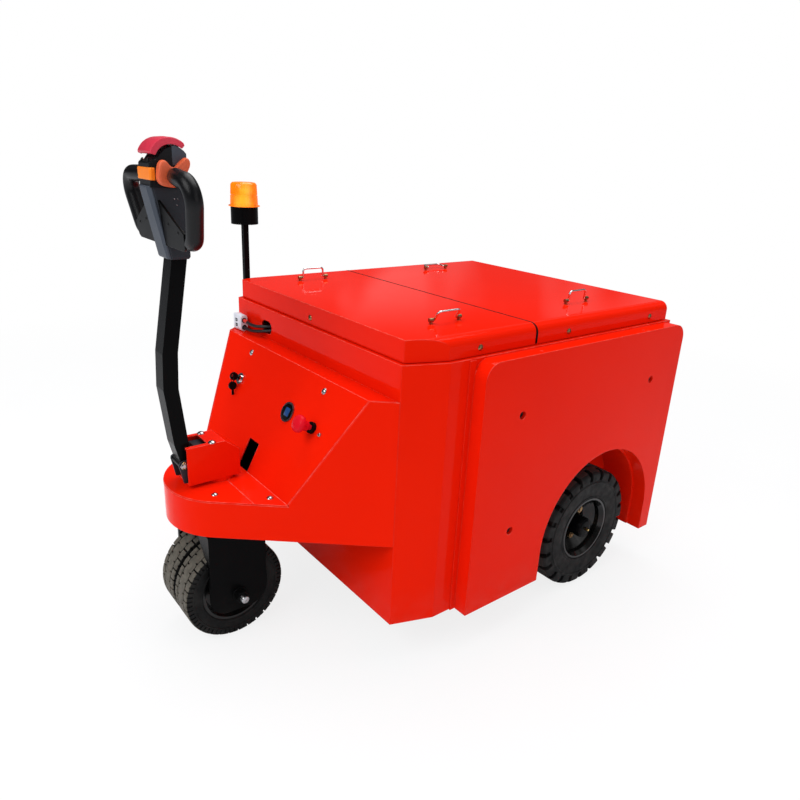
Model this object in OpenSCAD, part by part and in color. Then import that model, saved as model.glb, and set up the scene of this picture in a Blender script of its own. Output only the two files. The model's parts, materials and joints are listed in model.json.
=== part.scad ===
// Electric tow tractor: a battery tow tractor steered by a tiller, in millimetres, +Z up.
// The vehicle travels toward -Y. The origin is on the ground, midway between the two axle lines.

/* [Wheels] */
// Distance from the steering axis to the rear axle
wheelbase = 889; // [860:1:920]
// Diameter of the twin front wheels
front_d = 250; // [236:1:256]
// Tread width of one front tyre
front_w = 75; // [66:1:78]
// Diameter of the rear wheels
rear_d = 346; // [330:1:356]
// Tread width of one rear tyre
rear_w = 90; // [80:1:94]
// Distance from the middle plane to the outer face of a rear tyre
rear_out = 432; // [424:1:438]

/* [Body] */
// Width of the body box between its two side walls
body_w = 820; // [796:1:832]
// Width of the flat front wall between the two corner facets
wall_w = 748; // [720:1:764]
// Length of a corner facet along the vehicle
facet_l = 101; // [80:1:120]
// Distance from the steering axis back to the front wall
wall_back = 244.5; // [238:0.5:256]
// Distance from the rear axle back to the rear wall
tail = 277; // [270:1:300]
// Height of the lower edge of the body above the ground
body_bottom = 103; // [90:1:120]
// Height of the rim that carries the lids
rim_z = 736; // [724:1:750]
// Thickness of the body sheet
sheet = 3; // [2:0.5:4]

/* [Console and nose] */
// Height of the flat top of the console
console_z = 656; // [640:1:664]
// Depth of the flat top of the console
console_d = 48; // [40:1:56]
// Lean of the sloped panel from vertical in degrees
panel_lean = 27.5; // [25:0.5:30]
// Height of the deck above the top of the front wheels
deck_rise = 152; // [148:1:160]
// Height of the band around the nose
band_h = 90; // [80:1:96]
// Radius of the rounded nose
nose_r = 150; // [140:1:156]
// Distance from the front wall to the tip of the nose
nose_reach = 365; // [358:1:376]

/* [Side panels] */
// Depth of a side panel box
side_d = 40; // [34:1:46]
// Distance from the front wall back to the front edge of a side panel
side_back = 169; // [156:1:190]
// Radius of the wheel arch
arch_r = 232; // [226:1:236]
// Distance of the arch centre behind the rear axle
arch_shift = 13.5; // [8:0.5:16]
// Height of the arch centre
arch_z = 184; // [178:1:190]
// Radius of the upper corners of a side panel
side_r = 40; // [30:1:50]

/* [Lids] */
// Height of the lids above the rim
lid_h = 50; // [42:1:60]
// Distance of the lid walls inside the body walls
lid_in = 10; // [7:1:12]
// Distance from the front wall back to the gap between the two lids
seam_back = 371; // [350:1:390]
// Distance between the two feet of a folding handle
bail_w = 84; // [72:1:96]
// Reach of a folding handle from its hinge line
bail_l = 24; // [20:1:30]

/* [Tiller] */
// Width of the tiller arm tube
arm_w = 44; // [38:1:46]
// Depth of the tiller arm tube
arm_d = 33; // [28:1:36]
// Width of the steering bracket
bracket_w = 76; // [72:1:82]
// Height of the steering bracket
bracket_h = 92; // [84:1:98]
// Half width of the grips, to the centre of the tube
grip_x = 170; // [150:1:180]
// Radius of the grip tube
grip_r = 16.5; // [14:0.5:18]

/* [Fittings] */
// Diameter of the emergency stop button
stop_d = 40; // [34:1:42]
// Diameter of the charge gauge
gauge_d = 48; // [42:1:52]
// Diameter of the beacon rim
beacon_d = 85; // [76:1:90]
// Height of the beacon lens
lens_h = 64; // [54:1:72]
// Diameter of the tow pin
pin_d = 25; // [20:1:28]

/* [Hidden] */
$fn = 72;
eps = 0.01 * sheet;
fit = 0.05;
free = 0.3;
gap = 0.8;
front_y = -wheelbase / 2;
rear_y = wheelbase / 2;
front_r = front_d / 2;
rear_r = rear_d / 2;
deck_z = front_d + deck_rise;
wall_y = front_y + wall_back;
tail_y = rear_y + tail;
half_w = body_w / 2;
half_f = wall_w / 2;
facet_k = (half_w - half_f) / facet_l;
facet_n = sqrt(1 + facet_k * facet_k);
side_x = half_w + side_d;
nose_a = nose_reach - nose_r;
nose_y = wall_y - nose_a;
nose_ang = acos(nose_r / norm([half_f, nose_a])) - atan2(nose_a, half_f);
nose_nx = cos(nose_ang);
nose_ny = sin(nose_ang);
band_z = deck_z - band_h;
slope_top_y = wall_y - console_d;
slope_run = (console_z - deck_z) * tan(panel_lean);
slope_low_y = slope_top_y - slope_run;
slope_l = (console_z - deck_z) / cos(panel_lean);
seam_y = wall_y + seam_back;
lid_z = rim_z + lid_h;
arch_y = rear_y + arch_shift;
face_t = sheet / cos(panel_lean);

// Frame rails, cross members and the steering bearing housing
rail_w = body_w * 0.05;
rail_h = body_w * 0.073;
rail_x = body_w * 0.275;
rail_z = rear_r + rear_r * 0.39;
rail_top = rail_z + rail_h;
cross_w = rail_w;
bulk_t = sheet * 4;
beam_x = wall_w * 0.08;
beam_w = wall_w * 0.04;
beam_z = band_z + band_h * 0.07;
beam_h = band_h * 0.68;
housing_r = wall_w * 0.072;
kingpin_r = front_d * 0.08;
bush_r = kingpin_r * 1.3;
crown_t = front_d * 0.048;
crown_z = beam_z - front_d * 0.072;
axle_r = rear_d * 0.1;
saddle_l = axle_r * 2.6;
tray_x = rear_out - rear_w - sheet * 12;
tray_y0 = wall_y + 2 * sheet + bulk_t;
tray_y1 = tail_y - 3 * sheet;
tray_h = rail_h;

// Front fork and wheels
fork_t = 10 * front_d / 250;
fork_in = front_w + front_w * 0.17;
fork_half = front_d * 0.284;
fork_low = front_r * 0.66;
fork_corner = fork_half * 0.6;
bolt_r = front_d * 0.04;
front_gap = front_w * 0.053;
front_rim_r = front_d * 0.33;
hub_r = front_d * 0.1;

// Tiller pivot and bracket
stem_y = front_y - front_d * 0.302;
stem_z = deck_z + bracket_h * 0.478;
pivot_y = front_y - front_d * 0.358;
pivot_z = deck_z + bracket_h * 0.63;
pivot_r = arm_w * 0.11;
foot_r = arm_w * 0.19;
bracket_z = deck_z + bracket_h * 0.09;
bracket_top = bracket_z + bracket_h;
bracket_front = front_y - front_d * 0.334;
bracket_back = front_y + front_d * 0.164;
bracket_t = sheet * 4 / 3;
arm_t = sheet;
tilt_k = 0.12;
lug_r = foot_r * 1.15;
lug_x = arm_w / 2 + free;
lug_t = (bracket_w / 2 - bracket_t - lug_x) * 0.4;
nut_room = bracket_w / 2 - bracket_t - lug_x - lug_t;

// Rear wheels
rear_rim_r = rear_d * 0.262;
rear_in = rear_out - rear_w;
shaft_r = rear_d * 0.045;
flange_r = rear_d * 0.15;
disc_x = rear_in + rear_w * 0.36;

module box(x0, x1, y0, y1, z0, z1) {
    translate([x0, y0, z0]) cube([x1 - x0, y1 - y0, z1 - z0]);
}

module rod_x(r, h) {
    rotate([0, 90, 0]) cylinder(h = h, r = r, center = true);
}

module along_x(w) {
    rotate([90, 0, 90]) linear_extrude(w, center = true) children();
}

// Plan outline of the body, moved inward by i
module body_plan(i) {
    fx = half_f + facet_k * i - facet_n * i;
    cy = wall_y + (half_w - i - half_f + facet_n * i) / facet_k;
    polygon([[fx, wall_y + i], [half_w - i, cy], [half_w - i, tail_y - i],
        [i - half_w, tail_y - i], [i - half_w, cy], [-fx, wall_y + i]]);
}

// Plan outline of the nose and console, moved inward by i
module nose_plan(i) {
    tx = (nose_r - i) * nose_nx;
    ty = nose_y - (nose_r - i) * nose_ny;
    bx = (nose_r - i + nose_ny * nose_a) / nose_nx;
    translate([0, nose_y]) circle(r = nose_r - i);
    polygon([[tx, ty], [bx, wall_y], [-bx, wall_y], [-tx, ty]]);
}

// A place on the sloped panel: u across, v up the slope, h out of it
module on_slope(u, v, h) {
    translate([u, slope_low_y + v * sin(panel_lean), deck_z + v * cos(panel_lean)])
        rotate([90 - panel_lean, 0, 0]) translate([0, 0, h]) children();
}

// Welded frame: rails, cross members, battery tray, nose beams and the steering bearing housing
module chassis_frame() {
    color("#3a3d40") difference() {
        union() {
            for (s = [-1, 1]) {
                box(s * rail_x - rail_w / 2, s * rail_x + rail_w / 2, wall_y + sheet, tail_y - sheet,
                    rail_z, rail_top);
                box(s * beam_x - beam_w / 2, s * beam_x + beam_w / 2, front_y, wall_y + sheet + bulk_t,
                    beam_z, beam_z + beam_h);
                box(s * rail_x - rail_w / 2, s * rail_x + rail_w / 2, rear_y - saddle_l / 2,
                    rear_y + saddle_l / 2, rear_r, rail_z);
            }
            for (y = [wall_y + sheet, seam_y - cross_w, tail_y - sheet - cross_w])
                box(-rail_x, rail_x, y, y + cross_w, rail_z, rail_top);
            box(-rail_x, rail_x, wall_y + sheet, wall_y + sheet + bulk_t, rail_z, beam_z + beam_h);
            translate([0, front_y, beam_z]) cylinder(h = beam_h, r = housing_r);
            intersection() {
                translate([0, 0, beam_z + beam_h - 2 * sheet]) linear_extrude(2 * sheet)
                    nose_plan(sheet + gap);
                box(-wall_w, wall_w, front_y - housing_r * 0.9, wall_y - gap, band_z, deck_z);
            }
            difference() {
                box(-tray_x, tray_x, tray_y0, tray_y1, rail_top - eps, rail_top + tray_h);
                box(-tray_x + sheet, tray_x - sheet, tray_y0 + sheet, tray_y1 - sheet, rail_top + sheet,
                    rail_top + 2 * tray_h);
                for (k = [0.2, 0.4, 0.6, 0.8])
                    translate([0, tray_y0 + (tray_y1 - tray_y0) * k, rail_top - sheet])
                        cylinder(h = 3 * sheet, r = rail_w * 0.6);
            }
        }
        translate([0, front_y, beam_z - eps]) cylinder(h = beam_h + 2 * eps, r = bush_r);
        translate([0, rear_y, rear_r]) rod_x(axle_r, body_w);
    }
}

// Body box with rim, inner coaming, wheel houses and the cable opening
notch_w = lid_h * 0.4;
coam_in = lid_in + sheet * 2 + gap;
coam_h = lid_h * 0.7;
house_r = arch_r - sheet;
house_in = rear_in - sheet * 11;
seam_cut = sheet * 1.5 + gap;
slot_w = wall_w * 0.072;
slot_h = lid_h * 0.68;
slot_x = -half_f * 0.555;
slot_z = rim_z - lid_h;

module side_arch(r, x0, x1) {
    for (s = [-1, 1])
        translate([s * (x0 + x1) / 2, arch_y, 0]) along_x(x1 - x0) {
            translate([0, arch_z]) circle(r = r);
            translate([-r, -r]) square([2 * r, r + arch_z]);
        }
}

module body_shell() {
    color("#e01a0a") difference() {
        union() {
            difference() {
                translate([0, 0, body_bottom]) linear_extrude(rim_z - body_bottom) body_plan(0);
                translate([0, 0, body_bottom - sheet]) linear_extrude(rim_z - body_bottom) body_plan(sheet);
                translate([0, 0, rim_z - 2 * sheet]) linear_extrude(3 * sheet) body_plan(coam_in + sheet);
            }
            difference() {
                translate([0, 0, rim_z - sheet]) linear_extrude(coam_h + sheet) body_plan(coam_in);
                translate([0, 0, rim_z - 2 * sheet])
                    linear_extrude(coam_h + 4 * sheet) body_plan(coam_in + sheet);
            }
            difference() {
                side_arch(house_r, house_in, half_w - eps);
                side_arch(house_r - sheet, house_in + sheet, half_w + sheet);
                box(-body_w, body_w, tail_y - house_r * 3, tail_y, -2 * body_w, body_bottom);
            }
        }
        side_arch(house_r - sheet, half_w - 2 * sheet, half_w + sheet);
        translate([0, rear_y, rear_r]) rod_x(flange_r * 1.15, 2 * house_in + 4 * sheet);
        box(-beam_x - beam_w, beam_x + beam_w, wall_y - sheet, wall_y + 2 * sheet, beam_z - gap,
            beam_z + beam_h + gap);
        hull_slot();
        for (s = [-1, 1]) {
            for (y = [front_screw_y, rear_screw_y0, rear_screw_y1])
                box(s * (half_w - coam_in) - 2 * sheet, s * (half_w - coam_in) + 2 * sheet,
                    y - notch_w / 2, y + notch_w / 2, rim_z + sheet, rim_z + 2 * coam_h);
            box(s * (half_w - coam_in) - 2 * sheet, s * (half_w - coam_in) + 2 * sheet,
                seam_y - seam_cut, seam_y + seam_cut, rim_z + sheet / 4, rim_z + 2 * coam_h);
            for (p = side_bolts)
                translate([s * half_w, p[0], p[1]]) rod_x(side_bolt_r + free, 4 * sheet);
        }
        for (y = [wall_y + coam_in, tail_y - coam_in])
            box(-notch_w / 2, notch_w / 2, y - 2 * sheet, y + 2 * sheet, rim_z + sheet, rim_z + 2 * coam_h);
        for (s = [-1, 1])
            for (z = [hitch_z - hitch_s, hitch_z + hitch_s])
                translate([s * hitch_s, tail_y, z]) rotate([90, 0, 0])
                    cylinder(h = 4 * sheet, r = hitch_bolt_r + free, center = true);
    }
}

module hull_slot() {
    for (s = [-1, 1])
        translate([slot_x + s * (slot_w - slot_h) / 2, wall_y, slot_z]) rotate([90, 0, 0])
            cylinder(h = 4 * sheet, r = slot_h / 2, center = true);
    translate([slot_x, wall_y, slot_z]) cube([slot_w - slot_h, 4 * sheet, slot_h], center = true);
}

// Side panels: boxed covers with rounded upper corners and a wheel arch
side_front = wall_y + side_back;
side_rear = tail_y + sheet * 4;
side_low = body_bottom - sheet / 2;
side_top = rim_z - sheet;
side_bolt_r = side_d * 0.12;
side_bolt_y0 = wall_y + seam_back * 0.8;
side_bolt_y1 = arch_y + arch_r * 0.64;
side_bolt_z0 = arch_z + arch_r * 0.47;
side_bolt_z1 = rim_z - lid_h * 2.86;
side_bolts = [
    [side_bolt_y0, side_bolt_z1],
    [side_bolt_y1, side_bolt_z1],
    [side_bolt_y0, side_bolt_z0]];
boss_r = side_d * 0.36;
pocket_r = side_d * 0.25;
boss_x = half_w + side_d / 2 - sheet / 4;

module side_outline(i) {
    difference() {
        union() {
            translate([side_front + i, side_low + i])
                square([side_rear - side_front - 2 * i, side_top - side_low - side_r - i]);
            translate([side_front + side_r, side_low + i])
                square([side_rear - side_front - 2 * side_r, side_top - side_low - 2 * i]);
            for (y = [side_front + side_r, side_rear - side_r])
                translate([y, side_top - side_r]) circle(r = side_r - i);
        }
        translate([arch_y, arch_z]) circle(r = arch_r + i);
        translate([arch_y - arch_r - i, side_low - side_r])
            square([2 * (arch_r + i), arch_z - side_low + side_r]);
    }
}

module side_panel(s) {
    color("#e01a0a") difference() {
        union() {
            difference() {
                translate([s * (half_w + side_x) / 2, 0, 0]) along_x(side_d) side_outline(0);
                translate([s * (half_w + side_x - 2 * sheet) / 2, 0, 0]) along_x(side_d)
                    side_outline(sheet);
            }
            for (p = side_bolts)
                translate([s * boss_x, p[0], p[1]]) rod_x(boss_r, side_d - sheet / 2);
            translate([s * (half_w + sheet / 2), side_front - sheet * 2, (side_low + side_top) / 2])
                cube([sheet, sheet * 6, side_top - side_low], center = true);
        }
        for (p = side_bolts) {
            translate([s * (half_w + side_d / 2), p[0], p[1]]) rod_x(side_bolt_r + free, 2 * side_d);
            translate([s * side_x, p[0], p[1]]) rod_x(pocket_r, side_d * 0.6);
        }
        for (y = [side_front + side_back * 1.09, arch_y + arch_r * 0.41])
            translate([s * (half_w + side_d * 0.63), y, side_top - 2 * sheet])
                cylinder(h = 3 * sheet, r = sheet);
    }
}

module side_panel_l() {
    side_panel(1);
}

module side_panel_r() {
    side_panel(-1);
}

// Socket-head bolts at the bottom of the panel pockets
module panel_screws() {
    head_x = side_x - side_d * 0.3;
    color("#26282a") for (s = [-1, 1])
        for (p = side_bolts)
            difference() {
                union() {
                    translate([s * (head_x + side_bolt_r / 2), p[0], p[1]])
                        rod_x(side_bolt_r * 1.6, side_bolt_r);
                    translate([s * (head_x + half_w - 2 * sheet) / 2, p[0], p[1]])
                        rod_x(side_bolt_r, head_x - half_w + 2 * sheet + eps);
                }
                translate([s * (head_x + side_bolt_r), p[0], p[1]]) rotate([0, 90, 0])
                    cylinder(h = side_bolt_r, r = side_bolt_r * 0.8, center = true, $fn = 6);
            }
}

// Nose band and console side walls, with an inner ledge for the deck
ledge_w = nose_r * 0.36;
deck_bolt_r = sheet * 1.3;
deck_bolt_x = nose_r * 0.59;
deck_bolt_y = nose_y - nose_r * 0.5;
foot_bolt_x = nose_r * 1.13;
foot_bolt_y = slope_low_y - sheet * 5;
deck_seam_y = slope_low_y - sheet * 19;

module nose_shell() {
    color("#e01a0a") difference() {
        union() {
            difference() {
                translate([0, 0, band_z]) linear_extrude(console_z - band_z) nose_plan(0);
                translate([0, 0, band_z - sheet]) linear_extrude(console_z) nose_plan(sheet);
            }
            difference() {
                translate([0, 0, deck_z - 2 * sheet]) linear_extrude(sheet) nose_plan(eps);
                translate([0, 0, deck_z - 3 * sheet]) linear_extrude(3 * sheet) nose_plan(ledge_w);
                box(-body_w, body_w, slope_low_y - sheet, wall_y + sheet, rail_z, console_z);
            }
        }
        along_x(body_w + wall_w) polygon([
            [nose_y - 2 * nose_r, deck_z - sheet],
            [slope_low_y + sheet / 2, deck_z - sheet],
            [slope_low_y + sheet / 2, deck_z + sheet / 2 / tan(panel_lean)],
            [slope_top_y, console_z],
            [slope_top_y, console_z + rim_z],
            [nose_y - 2 * nose_r, console_z + rim_z]]);
        for (s = [-1, 1]) {
            translate([s * deck_bolt_x, deck_bolt_y, deck_z - 3 * sheet])
                cylinder(h = 3 * sheet, r = deck_bolt_r + free);
            translate([s * foot_bolt_x, foot_bolt_y, deck_z - 3 * sheet])
                cylinder(h = 3 * sheet, r = deck_bolt_r + free);
        }
    }
}

// Loose plate over the front wheels
neck_r = bracket_w * 0.5;

module deck_plate() {
    color("#e01a0a") difference() {
        translate([0, 0, deck_z - sheet]) linear_extrude(sheet) nose_plan(gap);
        box(-body_w, body_w, deck_seam_y - gap / 2, wall_y + sheet, rail_z, console_z);
        translate([0, front_y, deck_z - 2 * sheet]) cylinder(h = 3 * sheet, r = neck_r + gap);
        for (s = [-1, 1])
            translate([s * deck_bolt_x, deck_bolt_y, deck_z - 2 * sheet])
                cylinder(h = 3 * sheet, r = deck_bolt_r + free);
    }
}

// Bent cover of the console: flat top, sloped panel and foot strip
gauge_u = nose_r * 0.54;
gauge_v = slope_l * 0.617;
stop_u = nose_r * 1.28;
stop_v = slope_l * 0.613;
lock_u = -nose_r * 1.16;
lock_v = slope_l * 0.648;
panel_screw_u = nose_r * 1.18;
panel_screw_v = slope_l * 0.906;
lock_r = stop_d * 0.28;
stop_neck_r = stop_d * 0.28;
slot_u = nose_r * 0.32;
slot_v = slope_l * 0.255;
neck_cut = neck_r + gap;

module console_cover() {
    color("#e01a0a") difference() {
        union() {
            intersection() {
                along_x(body_w + wall_w) polygon([
                    [wall_y, console_z - sheet], [wall_y, console_z], [slope_top_y, console_z],
                    [slope_low_y, deck_z], [slope_low_y - sheet * tan(panel_lean), deck_z - sheet],
                    [slope_low_y - sheet * tan(panel_lean) + face_t, deck_z - sheet],
                    [slope_top_y + face_t - sheet * tan(panel_lean), console_z - sheet]]);
                translate([0, 0, band_z]) linear_extrude(rim_z) nose_plan(sheet + gap);
            }
            intersection() {
                translate([0, 0, deck_z - sheet]) linear_extrude(sheet) nose_plan(gap);
                box(-body_w, body_w, deck_seam_y + gap / 2, slope_low_y + (face_t - sheet) / 2, band_z,
                    console_z);
            }
        }
        on_slope(gauge_u, gauge_v, -3 * sheet) cylinder(h = 6 * sheet, r = gauge_d * 0.44 + free);
        on_slope(stop_u, stop_v, -3 * sheet) cylinder(h = 6 * sheet, r = stop_neck_r + free);
        on_slope(lock_u, lock_v, -3 * sheet) cylinder(h = 6 * sheet, r = lock_r + free);
        for (s = [-1, 1]) {
            on_slope(s * panel_screw_u, panel_screw_v, -3 * sheet)
                cylinder(h = 6 * sheet, r = deck_bolt_r + free);
            translate([s * foot_bolt_x, foot_bolt_y, deck_z - 2 * sheet])
                cylinder(h = 3 * sheet, r = deck_bolt_r + free);
        }
        on_slope(0, slot_v / 2, 0) cube([slot_u, slot_v, 6 * sheet], center = true);
        translate([0, front_y, deck_z - 2 * sheet]) cylinder(h = 3 * sheet, r = neck_cut);
    }
}

// Domed screws of the deck, the foot strip and the sloped panel
module dome_screw(r, l) {
    difference() {
        union() {
            translate([0, 0, -l]) cylinder(h = l + eps, r = r);
            intersection() {
                translate([0, 0, -r * 1.4]) sphere(r = r * 2.5);
                cylinder(h = r * 2, r = r * 2);
            }
        }
        translate([0, 0, r * 0.5]) cylinder(h = r * 2, r = r * 0.6, $fn = 6);
    }
}

module console_screws() {
    color("#c9ccd0") for (s = [-1, 1]) {
        translate([s * deck_bolt_x, deck_bolt_y, deck_z]) dome_screw(deck_bolt_r, 2.5 * sheet);
        translate([s * foot_bolt_x, foot_bolt_y, deck_z]) dome_screw(deck_bolt_r, 2.5 * sheet);
        on_slope(s * panel_screw_u, panel_screw_v, 0) dome_screw(deck_bolt_r, 2.5 * sheet);
    }
}

// Eight battery blocks with their terminal posts
block_n = 4;
block_x = (2 * tray_x - 2 * sheet - gap * 3) / 2;
block_y = (tray_y1 - tray_y0 - 2 * sheet - gap * (block_n + 1)) / block_n;
block_h = (rim_z - rail_top) * 0.6;
post_r = rail_w * 0.2;
post_shares = [0.12, 0.88];

module battery_blocks() {
    color("#1c1e20") for (i = [0 : 1])
        for (j = [0 : block_n - 1])
            translate([-tray_x + sheet + gap + i * (block_x + gap),
                tray_y0 + sheet + gap + j * (block_y + gap),
                rail_top + sheet]) {
                difference() {
                    cube([block_x, block_y, block_h]);
                    translate([block_x * 0.3, block_y * 0.5 - post_r, block_h - post_r])
                        cube([block_x * 0.4, 2 * post_r, 2 * post_r]);
                }
                for (q = post_shares)
                    translate([block_x * q, block_y * 0.5, block_h - eps])
                        cylinder(h = post_r * 2 + eps, r = post_r);
            }
}

// Motor controller on the front wall inside the console
ctrl_w = wall_w * 0.3;
ctrl_h = (console_z - deck_z) * 0.55;
ctrl_d = console_d * 1.2;

module controller() {
    color("#5b6168") difference() {
        box(-ctrl_w / 2, ctrl_w / 2, wall_y - ctrl_d, wall_y, deck_z + ctrl_d, deck_z + ctrl_d + ctrl_h);
        for (i = [1 : 7])
            box(-ctrl_w / 2 + ctrl_w * i / 8 - sheet, -ctrl_w / 2 + ctrl_w * i / 8 + sheet,
                wall_y - ctrl_d - eps, wall_y - ctrl_d * 0.6, deck_z, console_z);
    }
}

// Rear axle housing with the gearbox and the drive motor
brake_r = flange_r * 1.05;
brake_x = house_in - sheet * 2;

module rear_axle() {
    color("#2f3235") difference() {
        union() {
            translate([0, rear_y, rear_r]) rod_x(axle_r, 2 * brake_x);
            translate([0, rear_y, rear_r]) rod_x(axle_r * 1.9, axle_r * 3);
            translate([axle_r, rear_y, rear_r]) rotate([90, 0, 0])
                cylinder(h = rear_r * 1.3, r = axle_r * 1.5);
            translate([axle_r, rear_y - rear_r * 1.3, rear_r]) rotate([90, 0, 0])
                cylinder(h = rear_r * 0.12, r = axle_r * 1.7);
            for (s = [-1, 1])
                translate([s * brake_x, rear_y, rear_r]) rod_x(brake_r, sheet * 4);
        }
        for (s = [-1, 1])
            translate([s * (brake_x + sheet * 2), rear_y, rear_r]) rod_x(shaft_r + fit, rear_w * 2);
    }
}

// Rear wheel hub with its half shaft and the cap in the middle of the wheel
module hub(s) {
    cap_x = disc_x + rear_w * 0.62;
    color("#1d1f21") translate([0, rear_y, rear_r]) difference() {
        union() hub_solid(s, cap_x);
        rotate([0, 90 * s, 0]) for (i = [0 : stud_n - 1])
            rotate(i * 360 / stud_n) translate([stud_ring, 0, disc_x - sheet * 5])
                cylinder(h = sheet * 8, r = stud_r + free);
    }
}

module hub_solid(s, cap_x) {
    r = rear_d * 0.084;
    translate([s * (brake_x - rear_w * 0.2 + disc_x) / 2, 0, 0])
        rod_x(shaft_r, disc_x - brake_x + rear_w * 0.2);
    translate([s * (disc_x - sheet * 2), 0, 0]) rod_x(flange_r, sheet * 4);
    rotate([0, 90 * s, 0]) rotate_extrude() polygon([
        [0, disc_x - sheet], [r, disc_x - sheet], [r, cap_x - r * 0.36], [r * 0.93, cap_x - r * 0.14],
        [r * 0.75, cap_x - r * 0.03], [r * 0.45, cap_x], [0, cap_x]]);
    translate([s * cap_x, 0, 0]) rod_x(rear_d * 0.013, sheet * 6);
}

module hub_l() {
    hub(1);
}

module hub_r_side() {
    hub(-1);
}

// Dished rear rim
stud_r = rear_d * 0.017;
stud_ring = flange_r * 0.8;
stud_n = 5;

module rear_rim(s) {
    e = rear_out - rear_w * 0.06;
    f = rear_in + rear_w * 0.06;
    color("#17181a") translate([0, rear_y, rear_r]) rotate([0, 90 * s, 0]) difference() {
        rotate_extrude() polygon([
            [rear_d * 0.095, disc_x], [flange_r * 1.02, disc_x], [rear_rim_r * 0.82, disc_x + rear_w * 0.2],
            [rear_rim_r * 0.86, f], [rear_rim_r, f], [rear_rim_r, f + sheet * 2],
            [rear_rim_r * 0.93, f + sheet * 4], [rear_rim_r * 0.93, e - sheet * 4],
            [rear_rim_r, e - sheet * 2], [rear_rim_r, e], [rear_rim_r * 0.94, e],
            [rear_rim_r * 0.86, e - sheet * 4], [rear_rim_r * 0.86, disc_x + rear_w * 0.3],
            [rear_rim_r * 0.8, disc_x + rear_w * 0.24], [flange_r, disc_x + sheet * 1.6],
            [rear_d * 0.095, disc_x + sheet * 1.6]]);
        for (i = [0 : stud_n - 1])
            rotate(i * 360 / stud_n) translate([stud_ring, 0, disc_x - sheet])
                cylinder(h = sheet * 4, r = stud_r + free);
    }
}

module rear_rim_l() {
    rear_rim(1);
}

module rear_rim_r_side() {
    rear_rim(-1);
}

// Solid rear tyre with block lugs
rear_lug_n = 22;

module rear_tyre(s) {
    b = rear_rim_r * 0.93;
    e = rear_out - rear_w * 0.06;
    f = rear_in + rear_w * 0.06;
    color("#222325") translate([0, rear_y, rear_r]) rotate([0, 90 * s, 0]) difference() {
        rotate_extrude() polygon([
            [b, f + sheet * 4], [rear_rim_r, f + sheet * 2], [rear_rim_r, f],
            [rear_r * 0.72, rear_in], [rear_r * 0.9, rear_in], [rear_r * 0.965, rear_in + rear_w * 0.03],
            [rear_r, rear_in + rear_w * 0.14], [rear_r, rear_out - rear_w * 0.14],
            [rear_r * 0.965, rear_out - rear_w * 0.03], [rear_r * 0.9, rear_out], [rear_r * 0.72, rear_out],
            [rear_rim_r, e], [rear_rim_r, e - sheet * 2], [b, e - sheet * 4]]);
        for (i = [0 : rear_lug_n - 1]) {
            rotate((i + 0.5) * 360 / rear_lug_n) translate([rear_r, 0, rear_out - rear_w * 0.13])
                cube([rear_r * 0.15, rear_r * 0.09, rear_w * 0.3], center = true);
            rotate(i * 360 / rear_lug_n) translate([rear_r, 0, rear_in + rear_w * 0.13])
                cube([rear_r * 0.15, rear_r * 0.09, rear_w * 0.3], center = true);
        }
    }
}

module rear_tyre_l() {
    rear_tyre(1);
}

module rear_tyre_r() {
    rear_tyre(-1);
}

// Wheel nuts on their studs
module wheel_nuts(s) {
    color("#b99a5a") for (i = [0 : stud_n - 1])
        translate([0, rear_y, rear_r]) rotate([0, 90 * s, 0]) rotate(i * 360 / stud_n)
            translate([stud_ring, 0, disc_x]) {
                translate([0, 0, -sheet * 4]) cylinder(h = sheet * 9, r = stud_r);
                translate([0, 0, -sheet * 5]) cylinder(h = sheet, r = stud_r * 1.6);
                translate([0, 0, sheet * 1.6]) rotate(30)
                    cylinder(h = sheet * 2.6, r = stud_r * 1.9, $fn = 6);
            }
}

module wheel_nuts_l() {
    wheel_nuts(1);
}

module wheel_nuts_r() {
    wheel_nuts(-1);
}

// Lids: the long edges are rounded, the corner facets follow the body
lid_r = lid_h * 0.44;
lid_low = rim_z + sheet * 0.5;
screw_z = rim_z + lid_h * 0.36;
front_screw_y = wall_y + seam_back * 0.52;
rear_screw_y0 = seam_y + (tail_y - seam_y) * 0.214;
rear_screw_y1 = seam_y + (tail_y - seam_y) * 0.834;
lid_screw_r = sheet * 1.2;

module lid_profile(i) {
    w = half_w - lid_in - i;
    r = lid_r - i;
    translate([-w, lid_low - (i > 0 ? lid_h : 0)])
        square([2 * w, lid_z - i - r - lid_low + (i > 0 ? lid_h : 0)]);
    translate([-w + r, lid_low]) square([2 * w - 2 * r, lid_z - i - lid_low]);
    for (s = [-1, 1])
        translate([s * (w - r), lid_z - i - r]) circle(r = r);
}

module lid_block(i, y0, y1) {
    intersection() {
        translate([0, (y0 + y1) / 2, 0]) rotate([90, 0, 0])
            linear_extrude(y1 - y0, center = true) lid_profile(i);
        translate([0, 0, rim_z - lid_h]) linear_extrude(3 * lid_h) body_plan(lid_in + i);
    }
}

module lid_front() {
    y0 = wall_y + lid_in;
    y1 = seam_y - sheet / 2;
    color("#e01a0a") difference() {
        lid_block(0, y0, y1);
        lid_block(sheet, y0 + sheet, y1 - sheet);
        for (s = [-1, 1])
            translate([s * (half_w - lid_in), front_screw_y, screw_z]) rod_x(lid_screw_r + free, 4 * sheet);
        translate([0, y0, screw_z]) rotate([90, 0, 0])
            cylinder(h = 4 * sheet, r = lid_screw_r + free, center = true);
        for (s = [-1, 1])
            for (t = [-1, 1])
                translate([s * bail_x, front_bail_y + t * bail_w / 2, lid_z - 2 * sheet])
                    cylinder(h = 3 * sheet, r = stem_r + free);
    }
}

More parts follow.
